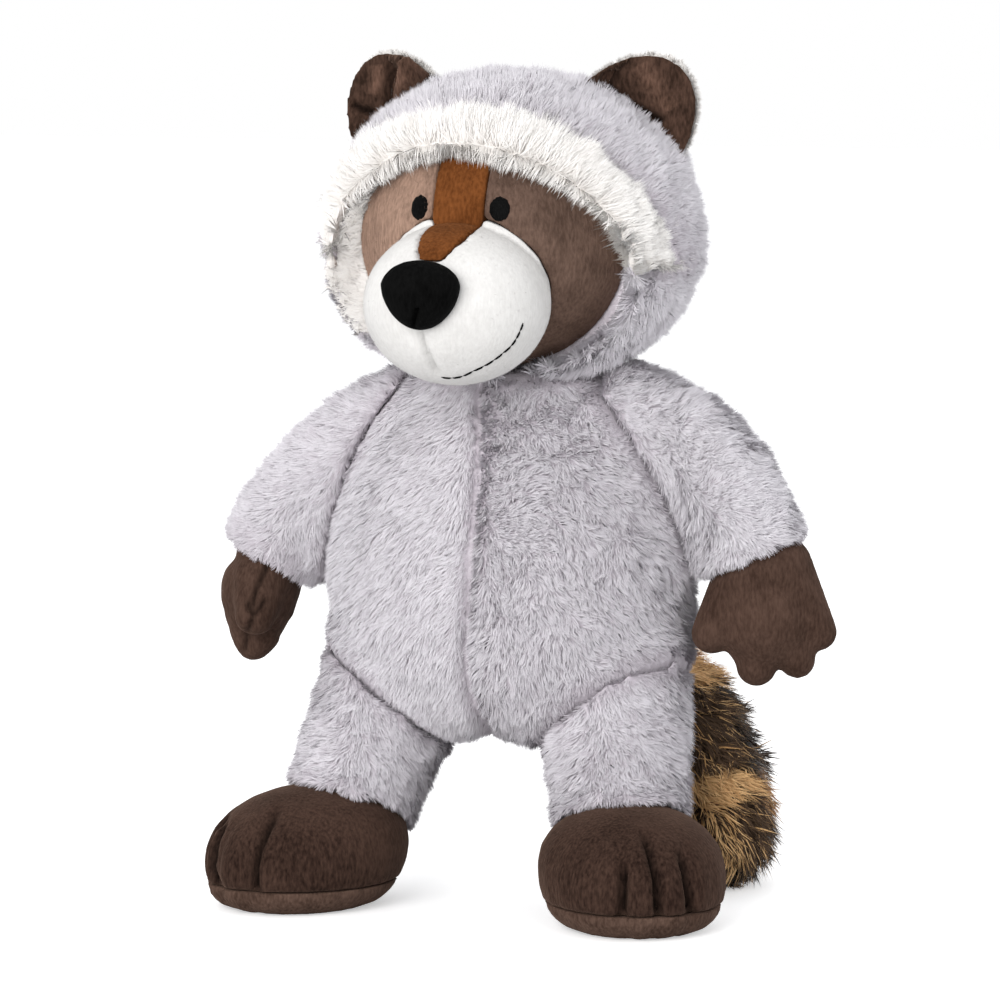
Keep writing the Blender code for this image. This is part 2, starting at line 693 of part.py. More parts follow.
def foot_rows(heights):
    """Rows of the foot's outline at some heights: flat below and domed above, with its peak over the heel."""
    rows = []
    for z in heights:
        if z < FOOT_WAIST_Z:
            rise = (FOOT_WAIST_Z - z) / FOOT_WAIST_Z
            spread = SOLE_FLAT_SHARE + (1 - SOLE_FLAT_SHARE) * sqrt(max(1 - rise ** 2, 0.0))
        else:
            rise = (z - FOOT_WAIST_Z) / (FOOT_HEIGHT - FOOT_WAIST_Z)
            spread = sqrt(max(1 - rise ** FOOT_DOME, 0.0))
        lean = -FOOT_LEAN_BACK * z / FOOT_HEIGHT
        rows.append((z, FOOT_HALF_WIDTH * spread, FOOT_HALF_LENGTH * spread, lean))
    return rows


def make_foot(side):
    """The upper, with three seams that part its toes, and the sole panel under it."""
    word = "left" if side > 0 else "right"
    angles = seamed_angles(22, TOE_SEAMS, TOE_SEAM_WIDTH)

    def seam_at(angle, z):
        fade = 1 - max(z / FOOT_HEIGHT - 0.45, 0.0) / 0.55
        return TOE_SEAM_DEPTH * fade if at_seam(angle, TOE_SEAMS) else 0.0

    place = (side * FOOT_X, FOOT_Y)
    low = SOLE_EDGE_Z + SEAM_GAP
    shares = (0, 0.17, 0.36, 0.55, 0.72, 0.85, 0.94, 0.985)
    upper_rows = foot_rows([low + (FOOT_HEIGHT - low) * share for share in shares])
    sole_rows = foot_rows([SOLE_EDGE_Z * share for share in (0, 0.25, 0.6, 1)])
    upper = turned_form("foot_" + word, place, side * FOOT_SPLAY, upper_rows, angles, seam_at)
    sole = turned_form("sole_" + word, place, side * FOOT_SPLAY, sole_rows, angles, seam_at)
    return upper, sole


def make_leg(side, torso, foot):
    """A short leg from the belly's side down to the foot, which its hem takes in."""
    hip = Vector((side * HIP_X, HIP_Y, HIP_Z, HIP_HALF, HIP_HALF))
    ankle = Vector((side * ANKLE_X, ANKLE_Y, ANKLE_Z, LEG_HEM_HALF, LEG_HEM_HALF))
    stations = [tuple(hip), tuple((hip + ankle) / 2), tuple(ankle)]
    name = "leg_left" if side > 0 else "leg_right"
    leg = limb_form(name, stations, 3, 20, HIP_HALF * 0.7, HEM_ROUND, Vector((0, 1, 0)))
    return seat_against(leg, torso, foot)


def make_tail(torso, leg):
    """A thick round tail, sewn to the back and flattened where it stands on the floor."""
    halves = (TAIL_ROOT_HALF, (TAIL_ROOT_HALF + 2 * TAIL_HALF) / 3, TAIL_HALF, TAIL_HALF)
    stations = [(*place, half, half) for place, half in zip(TAIL_ROUTE, halves)]
    tail = limb_form("tail", stations, 3, 20, TAIL_ROOT_HALF * 0.5, TAIL_HALF * 0.95, Vector((0, 1, 0)))
    reach = TORSO_HALF_WIDTH * 3
    floor = prism("floor", [(-reach, -reach), (reach, -reach), (reach, 0.0), (-reach, 0.0)], -reach, reach)
    combine(tail, floor, "DIFFERENCE", keep_other=False)
    return seat_against(tail, torso, leg)


def centre_on_origin(objects):
    """Moves all members so that the middle of their box stands over the origin."""
    bpy.context.view_layer.update()
    corners = [obj.matrix_world @ Vector(c) for obj in objects for c in obj.bound_box]
    for axis in (0, 1):
        low = min(c[axis] for c in corners)
        high = max(c[axis] for c in corners)
        for obj in objects:
            obj.location[axis] -= (low + high) / 2


def build():
    for obj in list(bpy.data.objects):
        bpy.data.objects.remove(obj)
    plush = fabric("plush_grey", PLUSH_GREY, 0.95)
    trim_fur = fabric("trim_white", TRIM_WHITE, 0.95)
    mask_cloth = fabric("mask_brown", MASK_BROWN, 0.85)
    stripe_cloth = fabric("stripe_rust", STRIPE_RUST, 0.85)
    muzzle_cloth = fabric("muzzle_white", MUZZLE_WHITE, 0.88)
    nose_cloth = fabric("nose_black", NOSE_BLACK, 0.8)
    paw_cloth = fabric("paw_brown", PAW_BROWN, 0.85)
    sole_cloth = fabric("sole_brown", SOLE_BROWN, 0.85)
    tail_fur = fabric("tail_fur", TAIL_TAN, 0.95)
    thread = fabric("thread_black", NOSE_BLACK, 0.6)

    torso = make_torso()
    hood, hood_form, trim, stripe, nose, eyes, muzzle, masks, mouth = make_head(torso)
    members = [
        finish(torso, plush), finish(hood, plush), finish(trim, trim_fur),
        finish(stripe, stripe_cloth),
        finish(nose, nose_cloth), finish(muzzle, muzzle_cloth),
    ]
    members += [finish(mask, mask_cloth) for mask in masks]
    members += [finish(eye, thread) for eye in eyes.values()]
    mouth.data.materials.append(thread)
    members.append(mouth)
    legs = {}
    for side in (1, -1):
        back, front = make_ear(side, hood_form)
        members += [finish(back, trim_fur), finish(front, mask_cloth)]
        paw = make_paw(side)
        sleeve = make_sleeve(side, torso, hood_form, paw)
        members += [finish(paw, paw_cloth), finish(sleeve, plush)]
        foot, sole = make_foot(side)
        legs[side] = make_leg(side, torso, foot)
        members += [finish(foot, paw_cloth), finish(sole, sole_cloth), finish(legs[side], plush)]
    remove(hood_form)
    members.append(finish(make_tail(torso, legs[1]), tail_fur))
    centre_on_origin(members)


build()
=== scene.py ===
"""Standing plush raccoon with a furry hood, short-nap face panels, hanging arms and a ringed tail.

Metres, +Z up. The toy faces -Y and its left hand is at +X.
"""

import json
from math import atan, cos, pi, radians, sin, sqrt

import bpy
import numpy as np
from mathutils import Matrix, Vector
from mathutils.bvhtree import BVHTree
from mathutils.kdtree import KDTree

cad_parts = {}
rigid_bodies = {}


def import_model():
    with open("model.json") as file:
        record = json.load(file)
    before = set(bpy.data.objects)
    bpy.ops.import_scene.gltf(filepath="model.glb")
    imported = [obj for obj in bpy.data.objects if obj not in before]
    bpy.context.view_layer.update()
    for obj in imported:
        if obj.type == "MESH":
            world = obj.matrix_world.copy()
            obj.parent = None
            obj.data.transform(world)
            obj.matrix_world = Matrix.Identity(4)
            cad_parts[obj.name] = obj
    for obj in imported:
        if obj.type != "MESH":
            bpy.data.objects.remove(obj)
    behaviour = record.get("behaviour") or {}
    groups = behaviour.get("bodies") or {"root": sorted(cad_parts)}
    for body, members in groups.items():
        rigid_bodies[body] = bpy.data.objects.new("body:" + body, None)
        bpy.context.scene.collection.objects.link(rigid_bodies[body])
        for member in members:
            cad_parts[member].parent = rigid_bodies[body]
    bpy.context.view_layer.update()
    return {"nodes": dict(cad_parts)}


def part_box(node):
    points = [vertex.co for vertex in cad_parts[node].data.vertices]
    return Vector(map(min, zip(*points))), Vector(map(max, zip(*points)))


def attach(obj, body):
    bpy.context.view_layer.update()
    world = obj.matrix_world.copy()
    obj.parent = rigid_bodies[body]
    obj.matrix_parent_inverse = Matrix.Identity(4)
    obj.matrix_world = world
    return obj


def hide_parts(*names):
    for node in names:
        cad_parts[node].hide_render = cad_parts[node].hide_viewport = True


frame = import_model()

# The studio: a white floor, and soft boxes in front on the left, at the right, and above and behind.
# The camera stands 21 degrees to the toy's left and 6 degrees up, a little over two metres away.
# The picture is square, and PICTURE_MIDDLE is how far its middle lies right of and above the toy's foot.
CAMERA_TURN = radians(21)
CAMERA_RISE = radians(6)
CAMERA_REACH = 2.2
PICTURE_WIDTH = 0.4
PICTURE_PIXELS = 1000
PICTURE_MIDDLE = (-0.0044, 0.1576)
LIGHT_AIM_HEIGHT = 0.17
FLOOR_SIZE = 14

torso_low, torso_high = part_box("torso")
toy_x = (torso_low.x + torso_high.x) / 2
toy_y = (torso_low.y + torso_high.y) / 2
camera_back = Vector((
    sin(CAMERA_TURN) * cos(CAMERA_RISE), -cos(CAMERA_TURN) * cos(CAMERA_RISE), sin(CAMERA_RISE)))
camera_right = Vector((cos(CAMERA_TURN), sin(CAMERA_TURN), 0))
camera_up = camera_back.cross(camera_right)
aim = Vector((toy_x, toy_y, 0)) + camera_right * PICTURE_MIDDLE[0] + camera_up * PICTURE_MIDDLE[1]

bpy.ops.object.camera_add(location=aim + camera_back * CAMERA_REACH)
camera = bpy.context.object
camera.rotation_euler = Matrix((camera_right, camera_up, camera_back)).transposed().to_euler()
camera.data.angle = 2 * atan(PICTURE_WIDTH / 2 / CAMERA_REACH)
camera.data.clip_start = 0.1
bpy.context.scene.camera = camera


def softbox(name, right, forward, height, size, power, tint):
    """A square soft light that faces the toy: so far to the camera's right, and towards the camera."""
    place = Vector((toy_x, toy_y, height)) + camera_right * right
    place += Vector((camera_back.x, camera_back.y, 0)).normalized() * forward
    bpy.ops.object.light_add(type="AREA", location=place)
    light = bpy.context.object
    light.name = name
    from_toy = place - Vector((toy_x, toy_y, LIGHT_AIM_HEIGHT))
    light.rotation_euler = from_toy.to_track_quat("Z", "Y").to_euler()
    light.data.size = size
    light.data.energy = power
    light.data.color = tint


def show_and_light(tree, lighting, shown, output):
    """Joins a shader that lights the toy and one that the camera sees."""
    ray = tree.nodes.new("ShaderNodeLightPath")
    mix = tree.nodes.new("ShaderNodeMixShader")
    tree.links.new(ray.outputs["Is Camera Ray"], mix.inputs["Fac"])
    tree.links.new(lighting.outputs[0], mix.inputs[1])
    tree.links.new(shown.outputs[0], mix.inputs[2])
    tree.links.new(mix.outputs["Shader"], output.inputs["Surface"])


softbox("key_light", right=-0.85, forward=1.9, height=0.85, size=1.3, power=41, tint=(1.0, 0.99, 0.98))
softbox("side_light", right=1.7, forward=0.6, height=0.8, size=1.2, power=8, tint=(0.98, 0.99, 1.0))
softbox("top_light", right=-0.2, forward=-0.6, height=1.9, size=1.4, power=8, tint=(1.0, 1.0, 1.0))

bpy.ops.mesh.primitive_plane_add(size=FLOOR_SIZE, location=(toy_x, toy_y, 0))
floor = bpy.context.object
floor.name = "floor"
floor_paint = bpy.data.materials.new("floor_paint")
floor_paint.use_nodes = True
floor_nodes = floor_paint.node_tree.nodes
floor_shown = floor_nodes["Principled BSDF"]
floor_shown.inputs["Base Color"].default_value = (0.93, 0.93, 0.93, 1)
floor_shown.inputs["Roughness"].default_value = 0.7
floor_shown.inputs["Emission Color"].default_value = (1, 1, 1, 1)
floor_shown.inputs["Emission Strength"].default_value = 0.46
floor_lighting = floor_nodes.new("ShaderNodeBsdfDiffuse")
floor_lighting.inputs["Color"].default_value = (0.74, 0.74, 0.74, 1)
show_and_light(floor_paint.node_tree, floor_lighting, floor_shown, floor_nodes["Material Output"])
floor.data.materials.append(floor_paint)

room = bpy.data.worlds.new("studio_room")
room.use_nodes = True
room_nodes = room.node_tree.nodes
room_shown = room_nodes.new("ShaderNodeBackground")
room_shown.inputs["Color"].default_value = (1, 1, 1, 1)
room_shown.inputs["Strength"].default_value = 1.0
room_lighting = room_nodes["Background"]
room_lighting.inputs["Color"].default_value = (0.97, 0.98, 1.0, 1)
room_lighting.inputs["Strength"].default_value = 0.70
show_and_light(room.node_tree, room_lighting, room_shown, room_nodes["World Output"])
bpy.context.scene.world = room
bpy.context.scene.view_settings.view_transform = "Standard"

# The torso: two halves of grey plush, sewn down the belly and stuffed into an egg.
# The backing cloth is swollen by its filling, and a 5 mm pile stands on it in small tufts.
# Tufts turn, rise and grow unlike each other, and so do a tuft's fibres: in radians, degrees and shares.
PILE_MAP = "OFBake"
BACKING_DEPTH = 0.0030
BACKING_LUMPS = ((0.012, 17, 0.0007), (0.0045, 18, 0.0004))
FILLING_PRESSURE = 4.0
FILLING_STEPS = 20
PILE_LENGTH = 0.0052
PILE_WIDTH = 0.00056
ROOT_DEPTH = 0.0004
FLOOR_CLEARANCE = 0.0004
TUFT_TURN, TUFT_RISE, TUFT_SIZE = 0.34, 6, 0.07
FIBRE_TURN, FIBRE_RISE, FIBRE_SIZE = 0.2, 7, 0.1
MIX_COLOUR_A, MIX_COLOUR_B, MIX_COLOUR_OUT = 6, 7, 2


def pick_only(obj):
    """Leaves one object selected and active."""
    for other in bpy.context.view_layer.objects:
        other.select_set(False)
    bpy.context.view_layer.objects.active = obj
    obj.select_set(True)


def work(obj, kind, **settings):
    """Adds a modifier and applies it."""
    pick_only(obj)
    modifier = obj.modifiers.new(kind.lower(), kind)
    for name, value in settings.items():
        setattr(modifier, name, value)
    bpy.ops.object.modifier_apply(modifier=modifier.name)


def copy_node(node, name):
    """A merged copy of a CAD node, as a new piece."""
    obj = bpy.data.objects.new(name, frame["nodes"][node].data.copy())
    obj.data.name = name
    obj.data.materials.clear()
    bpy.context.scene.collection.objects.link(obj)
    pick_only(obj)
    bpy.ops.object.mode_set(mode="EDIT")
    bpy.ops.mesh.select_all(action="SELECT")
    bpy.ops.mesh.remove_doubles(threshold=0.00001)
    bpy.ops.mesh.normals_make_consistent(inside=False)
    bpy.ops.object.mode_set(mode="OBJECT")
    return obj


def places(obj):
    """The mesh's points as an array."""
    found = np.empty(len(obj.data.vertices) * 3, np.float32)
    obj.data.vertices.foreach_get("co", found)
    return found.reshape(-1, 3).astype(float)


def normals(obj):
    """The mesh's point normals as an array."""
    found = np.empty(len(obj.data.vertices) * 3, np.float32)
    obj.data.vertex_normals.foreach_get("vector", found)
    return found.reshape(-1, 3).astype(float)


def put_back(obj, points):
    """Writes moved points to the mesh."""
    obj.data.vertices.foreach_set("co", points.astype(np.float32).ravel())
    obj.data.update()


def seen(points):
    """Where points show in the picture, counted in pixels from its top left corner."""
    away = points - np.array(camera.location)
    deep = -(away @ np.array(camera_back)) * PICTURE_WIDTH / CAMERA_REACH / PICTURE_PIXELS
    across, up = away @ np.array(camera_right) / deep, away @ np.array(camera_up) / deep
    return np.stack([PICTURE_PIXELS / 2 + across, PICTURE_PIXELS / 2 - up], 1)


def line_gap(points, line):
    """How far points show from a line in the picture, in metres, and their share of its length."""
    shown = seen(points)
    line = np.array(line, float)
    longs = np.linalg.norm(np.diff(line, axis=0), axis=1)
    best, share, passed = np.full(len(points), 1e9), np.zeros(len(points)), 0.0
    for a, b, long in zip(line, line[1:], longs):
        t = np.clip((shown - a) @ (b - a) / long ** 2, 0, 1)
        gap = np.linalg.norm(shown - a - t[:, None] * (b - a), axis=1)
        share = np.where(gap < best, (passed + t * long) / longs.sum(), share)
        best = np.minimum(best, gap)
        passed += long
    return best * PICTURE_WIDTH / PICTURE_PIXELS, share


def press(obj, line, width, depth, fade=0.15):
    """Presses a crease into the side that the camera sees. A negative depth raises a ridge.

    The mesh keeps it as an attribute, by which the cloth gets painted shade in the fold and a painted
    highlight on a ridge.
    """
    points, ups = places(obj), normals(obj)
    gap, share = line_gap(points, line)
    faces = np.clip((ups @ np.array(camera_back)) * 4, 0, 1)
    ends = np.clip(np.minimum(share, 1 - share) / fade, 0, 1) if fade else 1.0
    pull = np.exp(-(gap / width) ** 2) * faces * ends
    put_back(obj, points - ups * (pull * depth)[:, None])
    marks = obj.data.attributes.get("crease") or obj.data.attributes.new("crease", "FLOAT", "POINT")
    before = np.zeros(len(points), np.float32)
    marks.data.foreach_get("value", before)
    marks.data.foreach_set("value", np.clip(before + pull * np.sign(depth), -1, 1).astype(np.float32))


def unit(vectors):
    """The vectors, each scaled to a length of 1."""
    return vectors / np.maximum(np.linalg.norm(vectors, axis=1, keepdims=True), 1e-9)


def drift(points, size, seed, count=14):
    """A smooth random value from about -1 to 1 at each point, changing over that distance.

    It is the sum of a count of waves that run in random ways.
    """
    rng = np.random.default_rng(seed)
    waves = rng.normal(size=(count, 3)) * (2.2 / size)
    return np.sin(points @ waves.T + rng.random(count) * 2 * pi).sum(1) / sqrt(count) * 0.8


def fill_out(obj, most):
    """Swells a closed cover with its filling. No point moves further than most."""
    start = places(obj)
    cloth = obj.modifiers.new("filling", "CLOTH")
    cloth.settings.quality = 5
    cloth.settings.mass = 0.15
    cloth.settings.use_pressure = True
    cloth.settings.uniform_pressure_force = FILLING_PRESSURE
    cloth.settings.effector_weights.gravity = 0
    for step in range(FILLING_STEPS):
        bpy.context.scene.frame_set(step + 1)
    pick_only(obj)
    bpy.ops.object.modifier_apply(modifier=cloth.name)
    bpy.context.scene.frame_set(1)
    moved = places(obj) - start
    far = np.linalg.norm(moved, axis=1, keepdims=True)
    put_back(obj, start + moved * np.minimum(1, most / np.maximum(far, 1e-9)))


def solid_tree(node):
    """A search tree of a CAD node's faces."""
    mesh = frame["nodes"][node].data
    mesh.calc_loop_triangles()
    faces = [tuple(face.vertices) for face in mesh.loop_triangles]
    return BVHTree.FromPolygons([vertex.co for vertex in mesh.vertices], faces)


def joint_share(points, nodes, pressed=0.002, clear=0.009):
    """0 where a neighbour presses on a point, rising to 1 clear of them all."""
    share = np.ones(len(points))
    for node in nodes:
        tree = solid_tree(node)
        low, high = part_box(node)
        near = ((points > np.array(low) - clear) & (points < np.array(high) + clear)).all(1)
        for i in np.flatnonzero(near):
            gap = tree.find_nearest(points[i])[3]
            share[i] = min(share[i], max(gap - pressed, 0) / (clear - pressed))
    return share


def stuffed(name, node, grain, inset, most, soften=4, beside=()):
    """A stuffed member's cover: its solid remeshed, smoothed, drawn in, and swollen by its filling.

    It swells by most, unless that is 0, and keeps the solid's own surface where it is sewn to the nodes
    beside it. Then it gets the small lumps of a stuffed cloth.
    """
    obj = copy_node(node, name)
    work(obj, "REMESH", mode="VOXEL", voxel_size=grain)
    work(obj, "SMOOTH", factor=0.5, iterations=soften)
    if most:
        solid = places(obj)
        put_back(obj, solid - normals(obj) * (inset + most * 0.6))
        work(obj, "SMOOTH", factor=0.5, iterations=2)
        fill_out(obj, most)
        share = joint_share(solid, beside)[:, None]
        put_back(obj, solid + (places(obj) - solid) * share)
    work(obj, "SUBSURF", levels=1, render_levels=1)
    points = places(obj)
    uneven = sum(drift(points, across, seed) * height for across, seed, height in BACKING_LUMPS)
    put_back(obj, points + normals(obj) * (uneven * joint_share(points, beside))[:, None])
    pick_only(obj)
    bpy.ops.object.shade_smooth()
    return obj


def cloth_shader(name, roughness, sheen):
    """A new cloth material, with its nodes, links and shader."""
    material = bpy.data.materials.new(name)
    material.use_nodes = True
    shader = material.node_tree.nodes["Principled BSDF"]
    shader.inputs["Roughness"].default_value = roughness
    shader.inputs["Specular IOR Level"].default_value = 0.2
    shader.inputs["Sheen Weight"].default_value = sheen
    shader.inputs["Sheen Roughness"].default_value = 0.45
    return material, material.node_tree.nodes, material.node_tree.links, shader


def ramp_of(nodes, stops):
    """A colour ramp with these (place, colour) stops."""
    ramp = nodes.new("ShaderNodeValToRGB")
    elements = ramp.color_ramp.elements
    while len(elements) < len(stops):
        elements.new(0.5)
    for element, (place, colour) in zip(elements, stops):
        element.position = place
        element.color = (*colour, 1)
    return ramp


def pile_cloth(name, along, tones):
    """Pile that changes colour along each fibre, and from fibre to fibre."""
    material, nodes, links, shader = cloth_shader(name, roughness=0.9, sheen=0.25)
    places_on = nodes.new("ShaderNodeUVMap")
    places_on.uv_map = PILE_MAP
    split = nodes.new("ShaderNodeSeparateXYZ")
    up_fibre = ramp_of(nodes, along)
    by_fibre = ramp_of(nodes, tones)
    mixed = nodes.new("ShaderNodeMix")
    mixed.data_type, mixed.blend_type = "RGBA", "MULTIPLY"
    mixed.inputs["Factor"].default_value = 1.0
    rough = nodes.new("ShaderNodeMapRange")
    rough.inputs["To Min"].default_value = 0.95
    rough.inputs["To Max"].default_value = 0.7
    links.new(places_on.outputs["UV"], split.inputs["Vector"])
    links.new(split.outputs["Y"], up_fibre.inputs["Fac"])
    links.new(split.outputs["X"], by_fibre.inputs["Fac"])
    links.new(split.outputs["Y"], rough.inputs["Value"])
    links.new(up_fibre.outputs["Color"], mixed.inputs[MIX_COLOUR_A])
    links.new(by_fibre.outputs["Color"], mixed.inputs[MIX_COLOUR_B])
    links.new(mixed.outputs[MIX_COLOUR_OUT], shader.inputs["Base Color"])
    links.new(rough.outputs["Result"], shader.inputs["Roughness"])
    return material


def backing_cloth(name, deep, bright):
    """The knitted backing at the foot of the pile."""
    material, nodes, links, shader = cloth_shader(name, roughness=0.95, sheen=0.2)
    place = nodes.new("ShaderNodeTexCoord")
    mottle = nodes.new("ShaderNodeTexNoise")
    mottle.inputs["Scale"].default_value = 420
    mottle.inputs["Detail"].default_value = 4
    shade = ramp_of(nodes, [(0.35, deep), (0.68, bright)])
    knit = nodes.new("ShaderNodeTexNoise")
    knit.inputs["Scale"].default_value = 1500
    raised = nodes.new("ShaderNodeBump")
    raised.inputs["Strength"].default_value = 0.6
    raised.inputs["Distance"].default_value = 0.0004
    links.new(place.outputs["Object"], mottle.inputs["Vector"])
    links.new(place.outputs["Object"], knit.inputs["Vector"])
    links.new(mottle.outputs["Fac"], shade.inputs["Fac"])
    links.new(knit.outputs["Fac"], raised.inputs["Height"])
    links.new(shade.outputs["Color"], shader.inputs["Base Color"])
    links.new(raised.outputs["Normal"], shader.inputs["Normal"])
    return material


def pile_roots(cover, count, keep, against, rng):
    """Where fibres grow on a cover, its normals there, and the area that they grow on.

    None grows deep in a joint, where one of the nodes in against shuts the cover in on all sides.
    """
    cover.data.calc_loop_triangles()
    corners = np.empty(len(cover.data.loop_triangles) * 3, np.int32)
    cover.data.loop_triangles.foreach_get("vertices", corners)
    corners = corners.reshape(-1, 3)
    spots, ups = places(cover), normals(cover)
    a, b, c = (spots[corners[:, i]] for i in range(3))
    areas = np.linalg.norm(np.cross(b - a, c - a), axis=1) / 2
    if keep is not None:
        areas = areas * keep((a + b + c) / 3, unit(sum(ups[corners[:, i]] for i in range(3))))
    tries = int(count * 1.3)
    chosen = rng.choice(len(areas), tries, p=areas / areas.sum())
    edge, across = np.sqrt(rng.random(tries)), rng.random(tries)
    shares = np.stack([1 - edge, edge * (1 - across), edge * across], 1)[:, :, None]
    root = (spots[corners[chosen]] * shares).sum(1)
    up = unit((ups[corners[chosen]] * shares).sum(1))
    for node in against:
        tree = solid_tree(node)
        low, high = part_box(node)
        near = ((root > np.array(low) - 0.004) & (root < np.array(high) + 0.004)).all(1)
        clear = np.ones(len(root), bool)
        for i in np.flatnonzero(near):
            straight = Vector(up[i])
            aside = straight.orthogonal().normalized() * 1.3
            across = straight.cross(aside)
            ways = (straight, straight + aside, straight - aside, straight + across, straight - across)
            clear[i] = any(tree.ray_cast(root[i], way, 0.012)[0] is None for way in ways)
        root, up = root[clear], up[clear]
    return root[:count], up[:count], areas.sum() * len(root) / tries


def turned_by(lay, up, angle):
    """Turns the way that each fibre lies about the cover's normal."""
    return lay * np.cos(angle)[:, None] + np.cross(up, lay) * np.sin(angle)[:, None]


def ribbons(name, root, arched, tip, across, wide, bends):
    """A mesh of narrow ribbons, one for each fibre, and the number of the point at each face's corner.

    A ribbon runs from its root to its tip, bent towards arched, and closes in to a point.
    """
    rows = []
    for step in range(bends):
        share = step / bends
        at = root * (1 - share) ** 2 + arched * (2 * share * (1 - share)) + tip * share ** 2
        half = across * (wide * (1 - share) ** 0.7)[:, None] / 2
        rows += [at - half, at + half]
    rows.append(tip)
    points = np.stack(rows, 1).reshape(-1, 3)
    points[:, 2] = np.maximum(points[:, 2], FLOOR_CLEARANCE)
    each = 2 * bends + 1
    start = np.arange(len(root))[:, None] * each
    order = [start + np.array([2 * i, 2 * i + 1, 2 * i + 3, 2 * i + 2]) for i in range(bends - 1)]
    order.append(start + np.array([each - 3, each - 2, each - 1]))
    points_of = np.concatenate(order, 1).ravel()
    sizes = np.tile([4] * (bends - 1) + [3], len(root))

    mesh = bpy.data.meshes.new(name)
    mesh.vertices.add(len(points))
    mesh.vertices.foreach_set("co", points.astype(np.float32).ravel())
    mesh.loops.add(len(points_of))
    mesh.loops.foreach_set("vertex_index", points_of.astype(np.int32))
    mesh.polygons.add(len(sizes))
    mesh.polygons.foreach_set("loop_start", np.concatenate([[0], np.cumsum(sizes)[:-1]]).astype(np.int32))
    mesh.polygons.foreach_set("use_smooth", [True] * len(sizes))
    mesh.update(calc_edges=True)
    return mesh, points_of


def map_pile(mesh, points_of, shade, bends):
    """Maps the pile: across the map lies each fibre's shade, and up it the way from root to tip."""
    up_fibre = np.repeat(np.arange(bends) / bends, 2).tolist() + [1.0]
    sides = np.tile([-0.004, 0.004], bends).tolist() + [0.0]
    map_u = (shade[:, None] + np.array(sides)).ravel()
    map_v = np.tile(np.array(up_fibre) * 0.96 + 0.02, len(shade))
    spots = np.stack([map_u[points_of], map_v[points_of]], 1)
    layer = mesh.uv_layers.new(name=PILE_MAP)
    layer.data.foreach_set("uv", spots.astype(np.float32).ravel())


def lay_pile(name, cover, count, length, width, comb, seed, lean=36, tuft=0.0022, gather=0.22,
             wander=0.4, bends=1, against=(), keep=None, tone=None, trim=None, glance=0.0):
    """Pile on a cover, in tufts, as narrow ribbons that lean over.

    comb gives the way it lies, wander how far it strays from that, lean how far it stands up in degrees,
    keep where it grows, trim its share of the length, tone its shade, and glance how far its shading
    turns to the front. tuft is the width of a tuft, and gather how far its tips draw together.
    """
    rng = np.random.default_rng(seed)
    root, up, growing = pile_roots(cover, count, keep, against, rng)
    total = len(root)

    lay = comb(root, up)
    lay = unit(lay - up * (lay * up).sum(1, keepdims=True))
    wild = wander(root) if callable(wander) else wander
    lay = turned_by(lay, up, wild * (drift(root, 0.020, seed + 1) + 0.8 * drift(root, 0.007, seed + 2)))

    heads = rng.choice(total, min(max(int(growing / tuft ** 2), 8), total), replace=False)
    tree = KDTree(len(heads))
    for i, h in enumerate(heads):
        tree.insert(root[h], i)
    tree.balance()
    near = np.array([tree.find(p)[1] for p in root])
    head_turn = (rng.normal(0, TUFT_TURN, len(heads))[near]) * wild * 2
    head_rise = rng.normal(0, TUFT_RISE, len(heads))[near]
    head_size = rng.normal(1, TUFT_SIZE, len(heads))[near]
    head_tone = rng.random(len(heads))[near]
    head_root = root[heads][near]

    stand = lean(root, up) if callable(lean) else lean
    rise = np.radians(np.clip(stand + head_rise + rng.normal(0, FIBRE_RISE, total), 5, 86))
    lay = turned_by(lay, up, head_turn + rng.normal(0, FIBRE_TURN, total))
    size = length * head_size * rng.normal(1, FIBRE_SIZE, total)
    clear_of = joint_share(root, against, 0.001, 0.008)
    size *= 0.5 + 0.5 * clear_of
    if trim is not None:
        size = size * trim(root, up)
    run = (lay * np.cos(rise)[:, None] + up * np.sin(rise)[:, None]) * size[:, None]
    tip = root + run + (head_root - root) * gather
    arched = root + (up * 0.5 + lay * 0.25) * size[:, None]
    root = root - up * ROOT_DEPTH
    across = unit(np.cross(tip - root, up + rng.normal(0, 0.25, (total, 3))))
    wide = width * rng.uniform(0.7, 1.3, total)
    mesh, points_of = ribbons(name, root, arched, tip, across, wide, bends)

    # Painted shade: fibres darken towards the pieces named in against, in the crease of the joint.
    shade = (head_tone + rng.random(total)) / 2 * (0.2 + 0.8 * clear_of)
    if tone is not None:
        shade = tone(root, up, rng, shade)
    map_pile(mesh, points_of, np.clip(shade, 0, 1) * 0.97 + 0.015, bends)
    flat = unit(np.cross(across, tip - root))
    soft = unit(up * 0.8 + flat * 0.2 + np.array([0, -glance, 0]))
    mesh.normals_split_custom_set_from_vertices(np.repeat(soft, 2 * bends + 1, 0).tolist())
    pile = bpy.data.objects.new(name, mesh)
    bpy.context.scene.collection.objects.link(pile)
    return pile


def dress(obj, material, slot, *nodes, fill=None):
    """Gives a piece its material and body, and hides the CAD nodes that it stands for. Its slot is not used.
    """
    obj.data.materials.clear()
    obj.data.materials.append(material)
    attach(obj, "root")
    if nodes:
        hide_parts(*nodes)
    return obj


GREY_ALONG = [(0.0, (0.58, 0.55, 0.59)), (0.4, (0.71, 0.69, 0.72)), (0.95, (0.80, 0.78, 0.815))]
GREY_TONES = [(0.0, (0.66, 0.62, 0.65)), (0.25, (0.90, 0.89, 0.90)), (1.0, (1.0, 1.0, 1.0))]
grey_pile = pile_cloth("grey_pile", GREY_ALONG, GREY_TONES)
grey_backing = backing_cloth("grey_backing", (0.46, 0.42, 0.46), (0.58, 0.54, 0.58))

BELLY_SEAM = ((480, 385), (478, 400), (477, 448), (472, 520), (468, 594), (466, 673), (475, 705), (497, 742))
BELLY_SEAM_WIDTH = 0.0028
BELLY_SEAM_PULL = 0.0042
BELLY_WHORL = (520, 505)
BELLY_WHORL_SIZE = 45
TORSO_BESIDE = ("hood", "sleeve_left", "sleeve_right", "leg_left", "leg_right")

